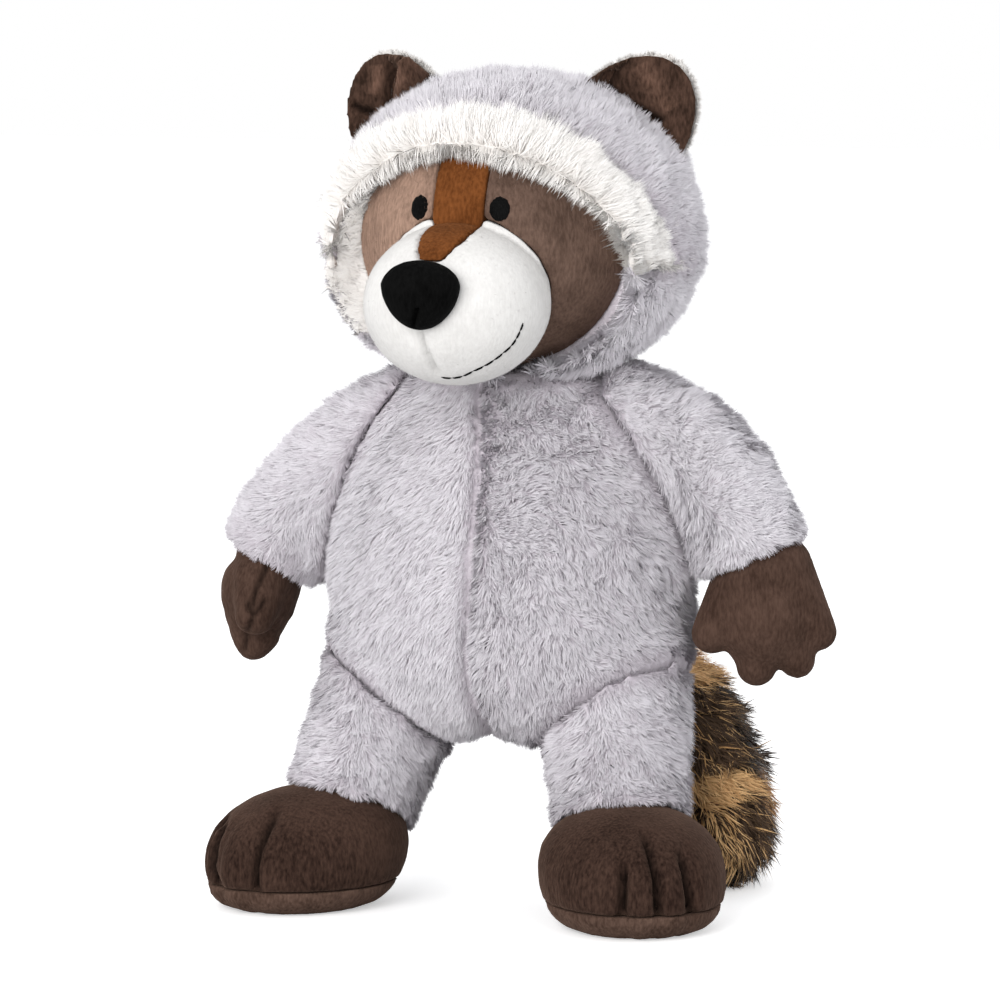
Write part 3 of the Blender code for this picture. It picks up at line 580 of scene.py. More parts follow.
torso = stuffed("torso_cover", "torso", 0.005, BACKING_DEPTH, 0.002, beside=TORSO_BESIDE)
press(torso, BELLY_SEAM, BELLY_SEAM_WIDTH, BELLY_SEAM_PULL, fade=0)


def belly_side(points):
    """1 on the toy's left of the belly's seam, -1 on its right, and the distance from the seam."""
    gap = line_gap(points, BELLY_SEAM)[0]
    front = points[:, 1] < toy_y
    seam_x = np.interp(seen(points)[:, 1], [p[1] for p in BELLY_SEAM], [p[0] for p in BELLY_SEAM])
    side = np.where(front, np.sign(seen(points)[:, 0] - seam_x), np.sign(points[:, 0] - toy_x))
    return side, np.where(front, gap, 1.0)


def torso_comb(points, ups):
    """Down the belly and away from its seam, with a whorl on the toy's left that lies outwards."""
    side, gap = belly_side(points)
    lay = np.zeros((len(points), 3))
    lay[:, 2] = -1
    lay[:, 0] = side * (0.25 + 0.8 * np.exp(-gap / 0.005))
    whorl = np.exp(-((seen(points) - BELLY_WHORL) ** 2).sum(1) / BELLY_WHORL_SIZE ** 2)
    lay[:, 0] += whorl * 1.5
    lay[:, 2] += whorl * 0.8
    return lay


def torso_wander(points):
    """The pile lies smoother on the toy's right."""
    return np.where(belly_side(points)[0] < 0, 0.2, 0.5)


def torso_trim(points, ups):
    """Shorter pile beside the seam, where the stitches catch it."""
    return 0.4 + 0.6 * np.clip(belly_side(points)[1] / 0.004, 0, 1)


def torso_painted_shade(points, ups, rng, shade):
    """Painted shade: darker in the seam's crease, and a little on the toy's left, the side away from the key
    light.
    """
    side, gap = belly_side(points)
    return shade * np.clip(gap / 0.0045, 0.02, 1) * np.where(side > 0, 0.6, 1.0)


def torso_lean(points, ups):
    """The pile stands up more on the toy's left."""
    return np.where(belly_side(points)[0] > 0, 48, 33)


torso_pile = lay_pile("torso_pile", torso, 150000, PILE_LENGTH, PILE_WIDTH, torso_comb, 11,
                      wander=torso_wander, lean=torso_lean, trim=torso_trim, tone=torso_painted_shade,
                      glance=0.2, against=TORSO_BESIDE)
dress(torso, grey_backing, "plush_grey", "torso", fill=0.8)
dress(torso_pile, grey_pile, "plush_grey")

# The hood: one ball of the same plush, open at the face, that holds the head's filling.
# Its pile lies away from the opening all round. It also lines the lower part of the opening's wall,
# and a fringe of it hangs from the rim in over the mask.
FACE_HEIGHT = 0.249
HEAD_HEIGHT = 0.264
BROW_HEIGHT = 0.31
FACE_HALF_WIDTH, FACE_UP, FACE_DOWN = 0.065, 0.047, 0.042
LIP_DEPTH = 0.0012
CHEEK_SLOPE = 0.092
HOOD_LINING_LENGTH = 0.0062
HOOD_FRINGE_LENGTH = 0.0085
HOOD_BESIDE = ("torso", "ear_back_left", "ear_back_right")
face_low, face_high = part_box("mask_left")
face_mid = Vector((toy_x, (face_low.y + face_high.y) / 2, FACE_HEIGHT))
head_mid = np.array([toy_x, toy_y, HEAD_HEIGHT])


def opening_share(points):
    """How far out each point lies from the face's middle: 1 is on the opening's rim."""
    high = points[:, 2] - face_mid.z
    tall = np.where(high > 0, FACE_UP, FACE_DOWN)
    return np.sqrt(((points[:, 0] - toy_x) / FACE_HALF_WIDTH) ** 2 + (high / tall) ** 2)


def white_inside(points):
    """1 where the trim's white plush also lines the opening, lower down on the toy's right cheek."""
    foot = np.where(points[:, 0] < toy_x, -0.024, 0.004) + drift(points, 0.01, 8) * 0.002
    return points[:, 2] > face_mid.z + foot


def opening_parts(points, ups):
    """Which points lie on the opening's wall, and which on its floor behind the face."""
    inside = (opening_share(points) < 1.06) & (points[:, 1] < toy_y) & (points[:, 2] < BROW_HEIGHT)
    out = points - np.array(face_mid)
    out[:, 1] = 0
    wall = inside & ((unit(out) * ups).sum(1) < 0)
    reach = np.where(points[:, 0] < toy_x, 0.72, 0.84)
    bottom = inside & (opening_share(points) < reach) & (ups[:, 1] < -0.6)
    return wall & ~bottom, bottom


def hood_keep(points, ups):
    """Outside the opening, and on its lip."""
    wall, bottom = opening_parts(points, ups)
    return np.where(wall | bottom, 0.0, 1.0)


def wall_comb(points, ups):
    """Out of the opening, towards its rim."""
    lay = unit(points - np.array(face_mid)) * 0.3
    lay[:, 1] = -1
    return lay


def grey_wall_keep(points, ups):
    """The opening's wall below the trim's lining."""
    return np.where(opening_parts(points, ups)[0] & ~white_inside(points), 1.0, 0.0)


def from_face(points):
    """The way straight out from the face's middle, as seen from the front."""
    out = points - np.array([toy_x, 0, face_mid.z - 0.01])
    out[:, 1] = 0
    return unit(out)


def fringe_comb(points, ups):
    """In over the edge of the mask."""
    lay = -from_face(points)
    lay[:, 1] = 0.5
    return lay


def grey_fringe_keep(points, ups):
    """The opening's front edge below the trim's lining."""
    share = opening_share(points)
    edge = (share > 0.97) & (share < 1.12) & (points[:, 1] < toy_y) & (ups[:, 1] < -0.2)
    return np.where(edge & ~white_inside(points), 1.0, 0.0)


def cheek_slope(points):
    """Brings the opening's wall on the toy's right cheek forward, to slope from its rim to the mask."""
    share = opening_share(points)
    cheek = np.clip((toy_x - 0.026 - points[:, 0]) / 0.012, 0, 1)
    cheek *= np.clip((0.036 - np.abs(points[:, 2] - face_mid.z)) / 0.008, 0, 1)
    front = (share > 0.96) & (share < 1.08) & (cheek > 0.5) & (points[:, 1] < toy_y)
    slope = np.percentile(points[front, 1], 12) + 0.0035 + (1 - share) * CHEEK_SLOPE
    inside = (share < 1.0) & (points[:, 1] < toy_y + 0.01) & (points[:, 2] < BROW_HEIGHT)
    forward = np.where(inside, np.maximum(points[:, 1] - slope, 0), 0) * cheek
    return points - forward[:, None] * [0, 1, 0]


def hood_comb(points, ups):
    """Away from the face, then down at the back. On the lip it leans over the mask."""
    lay = unit(points - np.array([toy_x, toy_y - 0.075, face_mid.z + 0.004]))
    lay[:, 2] -= 0.35 * (points[:, 1] > toy_y)
    lay[:, 1] += 0.25
    inward = (opening_share(points) < 1.05) & (points[:, 1] < toy_y)
    return np.where(inward[:, None], -lay, lay)


def hood_trim_share(points, ups):
    """Shorter pile on the lip of the opening."""
    rim = np.where(points[:, 1] < toy_y, opening_share(points), 2.0)
    return 0.6 + 0.4 * np.clip((rim - 1.0) / 0.25, 0, 1)


def hood_lean(points, ups):
    """The pile lies flatter behind the ears."""
    return 46 - 20 * np.clip((points[:, 1] - toy_y) / 0.02, 0, 1)


hood = stuffed("hood_cover", "hood", 0.0042, 0, 0, soften=6)
put_back(hood, cheek_slope(places(hood)))
hood_points, hood_ups = places(hood), normals(hood)
rim_share = np.where(hood_points[:, 1] < toy_y, opening_share(hood_points), 2.0)
outer = np.clip((hood_ups * unit(hood_points - head_mid)).sum(1) * 2, 0, 1)
drawn_in = LIP_DEPTH + (BACKING_DEPTH - LIP_DEPTH) * np.clip((rim_share - 1.0) / 0.22, 0, 1) * outer
drawn_in *= 0.2 + 0.8 * joint_share(hood_points, HOOD_BESIDE)
put_back(hood, hood_points - hood_ups * drawn_in[:, None])
hood_pile = lay_pile("hood_pile", hood, 152000, PILE_LENGTH * 1.05, PILE_WIDTH, hood_comb, 23, wander=0.5,
                     lean=hood_lean, keep=hood_keep, trim=hood_trim_share, against=("torso", "hood_trim"))
hood_lining = lay_pile("hood_lining_pile", hood, 9000, HOOD_LINING_LENGTH, PILE_WIDTH, wall_comb, 29,
                       keep=grey_wall_keep)
hood_fringe = lay_pile("hood_fringe_pile", hood, 9000, HOOD_FRINGE_LENGTH, PILE_WIDTH, fringe_comb, 31,
                       lean=14, wander=0.3, keep=grey_fringe_keep, against=("hood_trim",))
dress(hood, grey_backing, "plush_grey", "hood", fill=0.85)
dress(hood_pile, grey_pile, "plush_grey")
dress(hood_lining, grey_pile, "plush_grey")
dress(hood_fringe, grey_pile, "plush_grey")

# The hood's trim: a crescent of long white pile over the face, sewn to the hood's front edge.
# Its fibres part along the band: the outer ones lie over the grey plush, the inner ones over the brow.
# The same white plush lines the opening's wall beside it, down to the mask.
WHITE_ALONG = [(0.0, (0.74, 0.71, 0.68)), (0.35, (0.86, 0.84, 0.82)), (0.95, (0.94, 0.93, 0.915))]
WHITE_TONES = [(0.0, (0.90, 0.885, 0.87)), (0.5, (0.97, 0.965, 0.96)), (1.0, (1.0, 1.0, 1.0))]
white_pile = pile_cloth("white_pile", WHITE_ALONG, WHITE_TONES)
white_backing = backing_cloth("white_backing", (0.68, 0.65, 0.62), (0.80, 0.77, 0.745))
TRIM_PILE_LENGTH = 0.0105
TRIM_PARTING = 0.62
TRIM_THINNER = 0.0018
TRIM_TUCK = 0.0055
LINING_PILE_LENGTH = 0.0085


def white_wall_keep(points, ups):
    """The opening's wall where the white plush lines it."""
    return np.where(opening_parts(points, ups)[0] & white_inside(points), 1.0, 0.0)


def lining_size(points, ups):
    """Shorter at the rim, but not beside the trim's end, and up under the brow."""
    rim = np.clip((1.0 - opening_share(points)) / 0.14, 0, 1)
    rim = np.where(points[:, 2] > face_mid.z - 0.008, 1.0, rim)
    brow = np.clip((face_mid.z + 0.04 - points[:, 2]) / 0.015, 0, 1)
    return (0.4 + 0.6 * rim) * (0.6 + 0.4 * brow)


def lining_comb(points, ups):
    """Out over the cheek's slope, to its rim."""
    lay = from_face(points)
    lay[:, 1] = -0.9
    return lay


def past_parting(points, ups):
    """How far the band faces outwards from the line where its pile parts."""
    return (ups * from_face(points)).sum(1) + TRIM_PARTING


def trim_comb(points, ups):
    """Out over the grey plush, but on the band's inner side in over the mask."""
    part = np.tanh(past_parting(points, ups) / 0.18)
    lay = from_face(points) * part[:, None]
    lay[:, 1] = 0.05 + 0.25 * part
    return lay


def trim_lean(points, ups):
    """It stands up where it parts."""
    return 14 + 42 * np.exp(-(past_parting(points, ups) / 0.35) ** 2)


def trim_size(points, ups):
    """Shorter towards the cheeks, and on the inner side."""
    inner = 0.62 + 0.38 * np.clip(((ups * from_face(points)).sum(1) + 0.8) / 0.3, 0, 1)
    end = np.where(points[:, 0] < toy_x, 0.22, 0.42)
    return inner * (end + (1 - end) * np.clip((points[:, 2] - face_mid.z - 0.004) / 0.045, 0, 1))


def trim_keep(points, ups):
    """None on the side that lies on the hood."""
    tree = solid_tree("hood")
    gap = np.array([tree.find_nearest(point)[3] for point in points])
    return np.where(gap < 0.0018, 0.0, 1.0)


trim = stuffed("trim_cover", "hood_trim", 0.0030, 0.0008, 0.0008)
trim_points = places(trim)
thin = np.clip((face_mid.z + 0.035 - trim_points[:, 2]) / 0.035, 0, 1) * TRIM_THINNER
put_back(trim, trim_points - normals(trim) * thin[:, None])
trim_points = places(trim)
tuck = np.clip((face_mid.z + 0.036 - trim_points[:, 2]) / 0.03, 0, 1) * TRIM_TUCK
tuck *= trim_points[:, 0] < toy_x
put_back(trim, trim_points - (from_face(trim_points) - [0, 0.4, 0]) * tuck[:, None])
trim_pile = lay_pile("trim_pile", trim, 56000, TRIM_PILE_LENGTH, 0.0005, trim_comb, 37, lean=trim_lean,
                     tuft=0.0025, wander=0.14, gather=0.2, trim=trim_size, keep=trim_keep, glance=0.7)
trim_lining = lay_pile("trim_lining_pile", hood, 20000, LINING_PILE_LENGTH, 0.0006, lining_comb, 39,
                       lean=24, wander=0.15, keep=white_wall_keep, trim=lining_size, glance=0.9)
dress(trim, white_backing, "trim_white", "hood_trim", fill=0.7)
dress(trim_pile, white_pile, "trim_white")
dress(trim_lining, white_pile, "trim_white")

# The sleeves: stuffed tubes of grey plush that are sewn on at the shoulders, with open hems over the paws.
# Their pile parts down the front of each arm, and painted shade dulls the right one's fibres.
LIMB_BACKING_DEPTH = BACKING_DEPTH - 0.001
LIMB_SWELLING = 0.0015


def duller(points, ups, rng, shade):
    """Painted shade: a duller shade for every fibre."""
    return shade * 0.55


for word, side in (("left", 1), ("right", -1)):
    low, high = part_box("sleeve_" + word)
    shoulder = np.array([low.x if side > 0 else high.x, 0, high.z - 0.02])
    hem = np.array([(low.x + high.x) / 2 + side * 0.022, 0, low.z + 0.02])
    along = unit((hem - shoulder)[None])[0]
    across = np.array([along[2], 0, -along[0]])

    def sleeve_comb(points, ups, shoulder=shoulder, along=along, across=across):
        """Down the arm, and away from the parting on its front."""
        off = (points - shoulder) @ across
        return along + across * (np.tanh(off / 0.006) * 0.8)[:, None] * (points[:, 1:2] < toy_y + 0.01)

    beside = ("torso", "hood", "paw_" + word)
    sleeve = stuffed("sleeve_cover_" + word, "sleeve_" + word, 0.0035, LIMB_BACKING_DEPTH, LIMB_SWELLING,
                     beside=beside)
    pile = lay_pile("sleeve_pile_" + word, sleeve, 45000, PILE_LENGTH, PILE_WIDTH, sleeve_comb, 41 + side,
                    tone=None if side > 0 else duller, against=beside)
    dress(sleeve, grey_backing, "plush_grey", "sleeve_" + word, fill=0.7)
    dress(pile, grey_pile, "plush_grey")

# The legs: short stuffed tubes of grey plush, sewn to the belly's underside and to the feet.
# Their pile parts in front too, and painted shade dulls the fibres of both.
for word, side in (("left", 1), ("right", -1)):
    low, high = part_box("leg_" + word)
    middle_x = (low.x + high.x) / 2

    def leg_comb(points, ups, middle_x=middle_x, side=side):
        """Down the leg and away from the parting on its front."""
        lay = np.zeros((len(points), 3))
        lay[:, 2] = -1
        lay[:, 1] = -0.3
        lay[:, 0] = np.tanh((points[:, 0] - middle_x) / 0.008) * 0.8 * (points[:, 1] < toy_y) + side * 0.15
        return lay

    beside = ("torso", "foot_" + word)
    leg = stuffed("leg_cover_" + word, "leg_" + word, 0.004, LIMB_BACKING_DEPTH, LIMB_SWELLING,
                  beside=beside)
    pile = lay_pile("leg_pile_" + word, leg, 38000, PILE_LENGTH, PILE_WIDTH, leg_comb, 53 + side,
                    tone=duller, against=beside)
    dress(leg, grey_backing, "plush_grey", "leg_" + word, fill=0.7)
    dress(pile, grey_pile, "plush_grey")

# The tail: a thick stuffed tube behind the left leg, sewn to the torso's back.
# Its plush has a long shaggy pile, in tan and dark brown bands whose ends are given along its route.
TAIL_BAND_ENDS = (0.028, 0.050, 0.083, 0.100, 0.110)
TAIL_PILE_LENGTH = 0.0145
TAIL_ALONG = [(0.0, (0.45, 0.42, 0.40)), (0.4, (0.8, 0.8, 0.8)), (0.95, (1.0, 1.0, 1.0))]
TAIL_TONES = [(0.0, (0.040, 0.022, 0.012)), (0.42, (0.115, 0.066, 0.034)),
              (0.56, (0.52, 0.285, 0.11)), (1.0, (0.92, 0.60, 0.29))]
tail_pile_cloth = pile_cloth("tail_pile", TAIL_ALONG, TAIL_TONES)
tail_backing = backing_cloth("tail_backing", (0.035, 0.022, 0.015), (0.10, 0.06, 0.035))
TAIL_ROUTE = np.array([(0.010, 0.040, 0.095), (0.034, 0.062, 0.078), (0.052, 0.061, 0.056),
                       (0.0675, 0.048, 0.0245)]) + np.array([toy_x, toy_y, 0])


def tail_share(points):
    """The length of tail between its root and the place nearest to each point, and the way it runs."""
    best, reach, ways = np.full(len(points), 9.0), np.zeros(len(points)), np.zeros((len(points), 3))
    passed = 0.0
    for a, b in zip(TAIL_ROUTE, TAIL_ROUTE[1:]):
        long = np.linalg.norm(b - a)
        t = np.clip((points - a) @ (b - a) / long ** 2, 0, 1.6 if b is TAIL_ROUTE[-1] else 1)
        gap = np.linalg.norm(points - a - t[:, None] * (b - a), axis=1)
        closer = gap < best
        best, reach = np.where(closer, gap, best), np.where(closer, passed + t * long, reach)
        ways = np.where(closer[:, None], (b - a) / long, ways)
        passed += long
    return reach, ways


def tail_comb(points, ups):
    """Along the tail to its tip, and a little down."""
    return tail_share(points)[1] + np.array([0, 0, -0.25])


def tail_tone(points, ups, rng, shade):
    """Dark and tan bands with ragged edges, and some tan fibres among the dark ones."""
    reach = tail_share(points)[0] + drift(points, 0.012, 5) * 0.002 + rng.normal(0, 0.0016, len(points))
    tan = (np.searchsorted(TAIL_BAND_ENDS, reach) % 2 == 1) | (rng.random(len(points)) < 0.11)
    return np.where(tan, rng.uniform(0.58, 1.0, len(points)), rng.uniform(0.0, 0.40, len(points)))


tail = stuffed("tail_cover", "tail", 0.0045, 0.005, 0.002, beside=("torso",))
tail_pile = lay_pile("tail_pile", tail, 20000, TAIL_PILE_LENGTH, 0.0009, tail_comb, 67, bends=2,
                     tuft=0.005, wander=0.6, gather=0.5, tone=tail_tone, against=("torso", "leg_left"))
dress(tail, tail_backing, "tail_fur", "tail", fill=0.6)
dress(tail_pile, tail_pile_cloth, "tail_fur")

# The ears: cupped ovals with white plush behind and a brown velour panel sewn inside the rim.
# Each is sewn to the hood by its foot. Their folds follow lines of the picture, each with its width and
# its depth, and a negative depth is a ridge. The folds get painted shade and the ridges a painted highlight.
NAP_STREAK = 0.35
NAP_ROUGHNESS = 0.9


def velour(name, deep, bright, glow, grain=900, sheen=0.12, relief=0.7, patch=75, fold=0.35):
    """Short-nap cloth: fine streaks of nap, soft patches where it was brushed, and a glow at its edges.

    Painted shade darkens its folds to the share of its colour that fold gives, and a painted highlight
    brightens its ridges.
    """
    material, nodes, links, shader = cloth_shader(name, NAP_ROUGHNESS, sheen)
    shader.inputs["Sheen Tint"].default_value = (*glow, 1)
    shader.inputs["Specular IOR Level"].default_value = 0.04
    place = nodes.new("ShaderNodeTexCoord")
    drawn = nodes.new("ShaderNodeMapping")
    drawn.inputs["Scale"].default_value = (grain, grain, grain * NAP_STREAK)
    nap = nodes.new("ShaderNodeTexNoise")
    nap.inputs["Scale"].default_value = 1.0
    nap.inputs["Detail"].default_value = 3
    brushed = nodes.new("ShaderNodeTexNoise")
    brushed.inputs["Scale"].default_value = patch
    brushed.inputs["Detail"].default_value = 3
    both = nodes.new("ShaderNodeMix")
    both.inputs["Factor"].default_value = 0.45
    shade = ramp_of(nodes, [(0.36, deep), (0.66, bright)])
    marks = nodes.new("ShaderNodeAttribute")
    marks.attribute_name = "crease"
    painted_fold_shading = nodes.new("ShaderNodeMapRange")
    painted_fold_shading.inputs["From Min"].default_value = -1
    painted_fold_shading.inputs["To Min"].default_value = 2 - fold
    painted_fold_shading.inputs["To Max"].default_value = fold
    drawn_shade = nodes.new("ShaderNodeVectorMath")
    drawn_shade.operation = "SCALE"
    rough = nodes.new("ShaderNodeMapRange")
    rough.inputs["To Min"].default_value = NAP_ROUGHNESS + 0.1
    rough.inputs["To Max"].default_value = NAP_ROUGHNESS - 0.1
    raised = nodes.new("ShaderNodeBump")
    raised.inputs["Strength"].default_value = relief
    raised.inputs["Distance"].default_value = 0.0005
    links.new(place.outputs["Object"], drawn.inputs["Vector"])
    links.new(drawn.outputs["Vector"], nap.inputs["Vector"])
    links.new(place.outputs["Object"], brushed.inputs["Vector"])
    links.new(nap.outputs["Fac"], both.inputs["A"])
    links.new(brushed.outputs["Fac"], both.inputs["B"])
    links.new(both.outputs["Result"], shade.inputs["Fac"])
    links.new(both.outputs["Result"], rough.inputs["Value"])
    links.new(rough.outputs["Result"], shader.inputs["Roughness"])
    links.new(marks.outputs["Fac"], painted_fold_shading.inputs["Value"])
    links.new(shade.outputs["Color"], drawn_shade.inputs[0])
    links.new(painted_fold_shading.outputs["Result"], drawn_shade.inputs["Scale"])
    links.new(drawn_shade.outputs["Vector"], shader.inputs["Base Color"])
    links.new(nap.outputs["Fac"], raised.inputs["Height"])
    links.new(raised.outputs["Normal"], shader.inputs["Normal"])
    return material


def panel(name, node, grain, soften):
    """A sewn panel: its solid remeshed and smoothed, so that its edges are round at the seams."""
    obj = copy_node(node, name)
    work(obj, "REMESH", mode="VOXEL", voxel_size=grain)
    work(obj, "SMOOTH", factor=0.5, iterations=soften)
    pick_only(obj)
    bpy.ops.object.shade_smooth()
    return obj


BROWN_GLOW = (0.62, 0.40, 0.30)
ear_cloth = velour("ear_velour", (0.020, 0.011, 0.0075), (0.075, 0.042, 0.030), BROWN_GLOW, sheen=0.25,
                   patch=110, fold=0.12)
EAR_PILE_LENGTH = 0.0025
EAR_BACK_DEPTH = 0.0012
EAR_RIM_OUT = 0.0010
EAR_REACH = 0.022
EAR_FOLDS = {
    "left": ((((624, 56), (612, 70), (603, 90)), 0.0028, 0.0040),
             (((640, 62), (652, 84), (672, 112)), 0.0036, -0.0016),
             (((606, 88), (634, 108), (664, 122)), 0.0020, 0.0018)),
    "right": ((((391, 48), (395, 70), (391, 90), (392, 112)), 0.0024, 0.0055),
              (((402, 58), (406, 78), (402, 95), (404, 112)), 0.0026, -0.0032),
              (((377, 64), (378, 78), (374, 96)), 0.0028, -0.0012),
              (((431, 62), (434, 78), (430, 94)), 0.0020, 0.0034),
              (((351, 103), (362, 109), (374, 111)), 0.0018, 0.0026)),
}
for word, side in (("left", 1), ("right", -1)):
    low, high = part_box("ear_front_" + word)
    ear_mid = np.array([(low.x + high.x) / 2, (low.y + high.y) / 2, (low.z + high.z) / 2 - 0.006])

    def ear_comb(points, ups, ear_mid=ear_mid):
        """Out from the ear's middle to its rim."""
        lay = points - ear_mid
        lay[:, 1] -= 0.004
        return lay

    back = panel("ear_back_cover_" + word, "ear_back_" + word, 0.0014, 4)
    put_back(back, places(back) - normals(back) * EAR_BACK_DEPTH)
    pile = lay_pile("ear_back_pile_" + word, back, 14000, EAR_PILE_LENGTH, 0.0004, ear_comb, 71 + side,
                    lean=28, tuft=0.002, gather=0.2)
    dress(back, white_backing, "trim_white", "ear_back_" + word, fill=0.5)
    dress(pile, white_pile, "trim_white")
    front = panel("ear_front_panel_" + word, "ear_front_" + word, 0.0010, 3)
    outward = places(front) - ear_mid
    rim = np.clip(np.linalg.norm(outward, axis=1) / EAR_REACH, 0, 1)[:, None] ** 3
    put_back(front, places(front) + unit(outward * [1, 0, 1]) * EAR_RIM_OUT * rim)
    for line, width, depth in EAR_FOLDS[word]:
        press(front, line, width, depth, fade=0.05)
    dress(front, ear_cloth, "mask_brown", "ear_front_" + word, fill=0.4)

# The face: a brown mask in two halves, a rust stripe down the brow and a white muzzle.
# All are short-nap velour, sewn edge to edge over one stuffed ball. FACE_BALL has the ball's half widths,
# first above its middle and then below, and the muzzle's ball lies in front of it.
FACE_BALL = ((0.059, 0.060, 0.058), (0.059, 0.060, 0.054))
MUZZLE_BALL = (0.036, 0.036, 0.031)
MUZZLE_MID = np.array([0, -0.059, -0.024])
MUZZLE_BLEND = 0.012
PANEL_SKIN = 0.0045
SEAM_ROLL = 0.0011
SEAM_REACH = 0.0012
MUZZLE_ROLL = 0.0005


def face_reach(ways):
    """How far the stuffed face reaches from the head's middle: one ball, blended into the muzzle's."""
    halves = np.where(ways[:, 2:] > 0, FACE_BALL[0], FACE_BALL[1])
    ball = 1 / np.sqrt(((ways / halves) ** 2).sum(1))
    a = ((ways / MUZZLE_BALL) ** 2).sum(1)
    b = (ways * MUZZLE_MID / np.square(MUZZLE_BALL)).sum(1)
    c = ((MUZZLE_MID / MUZZLE_BALL) ** 2).sum() - 1
    far = (b + np.sqrt(np.maximum(b * b - a * c, 0))) / a
    far = np.where(b * b > a * c, far, 0)
    near = np.maximum(MUZZLE_BLEND - np.abs(ball - far), 0) / MUZZLE_BLEND
    return np.maximum(ball, far) + near ** 2 * MUZZLE_BLEND / 4


def lay_on_face(obj, roll=SEAM_ROLL):
    """Lays a panel's outside smoothly on the stuffed face, with its edges rolled in at the seams."""
    points = places(obj)
    far = np.linalg.norm(points - head_mid, axis=1)
    ways = unit(points - head_mid)
    outside = (far > face_reach(ways) - PANEL_SKIN) & ((normals(obj) * ways).sum(1) > 0.3)
    far = np.where(outside, far, np.minimum(far, face_reach(ways) - roll))
    sunk = points[~outside]
    tree = KDTree(len(sunk))
    for i, point in enumerate(sunk):
        tree.insert(point, i)
    tree.balance()
    edge = np.array([tree.find(point)[2] for point in points[outside]])
    far[outside] = face_reach(ways)[outside] - roll * np.exp(-(edge / SEAM_REACH) ** 2)
    put_back(obj, head_mid + ways * far[:, None])


# The mask's halves are lit and shaded copies of one velour: painted light makes the right half paler, on the
# key light's side, and painted shade makes the left half darker.
mask_cloth = velour("mask_velour", (0.070, 0.043, 0.032), (0.145, 0.092, 0.070), BROWN_GLOW)
lit_mask_cloth = velour("lit_mask_velour", (0.18, 0.115, 0.085), (0.36, 0.235, 0.175), BROWN_GLOW)
stripe_cloth = velour("stripe_velour", (0.090, 0.028, 0.007), (0.190, 0.064, 0.018), (0.8, 0.4, 0.2))
muzzle_cloth = velour("muzzle_velour", (0.60, 0.59, 0.575), (0.69, 0.68, 0.665), (1, 1, 1), sheen=0.05,
                      relief=0.3, fold=0.8)
mask_left = panel("mask_panel_left", "mask_left", 0.0014, 2)
mask_right = panel("mask_panel_right", "mask_right", 0.0014, 2)
stripe = panel("brow_stripe_panel", "brow_stripe", 0.0012, 2)
muzzle = panel("muzzle_panel", "muzzle", 0.0014, 2)
for piece in (mask_left, mask_right, stripe):
    lay_on_face(piece)
lay_on_face(muzzle, roll=MUZZLE_ROLL)
CHIN_SEAM = ((418, 326), (424, 348), (431, 364), (440, 378))
# The seam's crease gets painted shade in the muzzle's velour.
press(muzzle, CHIN_SEAM, 0.0010, 0.0024)
dress(mask_left, mask_cloth, "mask_brown", "mask_left", fill=0.8)
dress(mask_right, lit_mask_cloth, "mask_brown", "mask_right", fill=0.8)
dress(stripe, stripe_cloth, "stripe_rust", "brow_stripe", fill=0.8)
dress(muzzle, muzzle_cloth, "muzzle_white", "muzzle", fill=0.85)


def face_comb(points, ups):
    """Down and out from the bridge of the nose."""
    lay = points - np.array([toy_x, 0, face_mid.z + 0.012])
    lay[:, 1] = 0
    lay[:, 2] -= 0.02
    return lay


def face_front(points, ups):
    """Only the side that shows, in front of the hood."""
    return np.where((points[:, 1] < toy_y - 0.012) & (ups[:, 1] < 0.3), 1.0, 0.0)


for piece, cloth, slot, count, long, seed in (
        (mask_left, mask_cloth, "mask_brown", 10000, 0.0012, 81),
        (mask_right, lit_mask_cloth, "mask_brown", 9000, 0.0012, 82),
        (stripe, stripe_cloth, "stripe_rust", 4000, 0.0012, 83),
        (muzzle, muzzle_cloth, "muzzle_white", 12000, 0.0008, 84)):
    nap = lay_pile(piece.name + "_nap", piece, count, long, 0.0002, face_comb, seed, lean=34, tuft=0.001,
                   wander=0.3, gather=0.1, keep=face_front)
    dress(nap, cloth, slot)

# The nose: a black velour ball, stuffed and sewn to the muzzle's tip, with a stitched notch at its foot.
# Its nap is too fine and dark to show, so it is bump alone.
nose_cloth = velour("nose_velour", (0.001, 0.001, 0.001), (0.0035, 0.0035, 0.0035), (0.2, 0.2, 0.2),
                    sheen=0.01)
NOSE_NOTCH = ((417, 308), (415, 318), (412, 332))
nose = panel("nose_ball", "nose", 0.0008, 10)
# The notch's crease gets painted shade in the velour.
press(nose, NOSE_NOTCH, 0.0010, 0.0026, fade=0.05)
dress(nose, nose_cloth, "nose_black", "nose", fill=0.85)

# The eyes: two ovals of black satin stitches, embroidered through the mask's velour.
# Each is one flat oval here, with the fine grain of its threads.
thread_cloth = velour("thread_satin", (0.002, 0.002, 0.002), (0.006, 0.006, 0.006), (0.3, 0.3, 0.3),
                      grain=2200, sheen=0.03)
for word in ("left", "right"):
    eye = panel("eye_satin_" + word, "eye_" + word, 0.0005, 6)
    dress(eye, thread_cloth, "thread_black", "eye_" + word, fill=0.5)

# The mouth: one line of backstitches in black thread, each about 4 mm long, on the toy's left cheek.
# A stitch's ends are drawn down into the nap, and its middle lies on it.
SMILE = ((441, 377), (452, 378), (463, 376), (473, 371), (484, 366), (494, 360), (503, 353), (511, 346),
         (516, 339), (520, 331), (523, 323))
THREAD_HALF = 0.00042
STITCH_LIFT = 0.00018
STITCH_PARTS = 4
muzzle_faces = [face.vertices for face in muzzle.data.polygons]
muzzle_tree = BVHTree.FromPolygons([vertex.co for vertex in muzzle.data.vertices], muzzle_faces)


def on_muzzle(spot):
    """Where a point of the picture lies on the muzzle, and the way out of it there."""
    right, down = ((part - PICTURE_PIXELS / 2) for part in spot)
    pixel = PICTURE_WIDTH / PICTURE_PIXELS
    aim_at = aim + camera_right * right * pixel - camera_up * down * pixel
    place, out, *_ = muzzle_tree.ray_cast(camera.location, aim_at - camera.location)
    return place, out


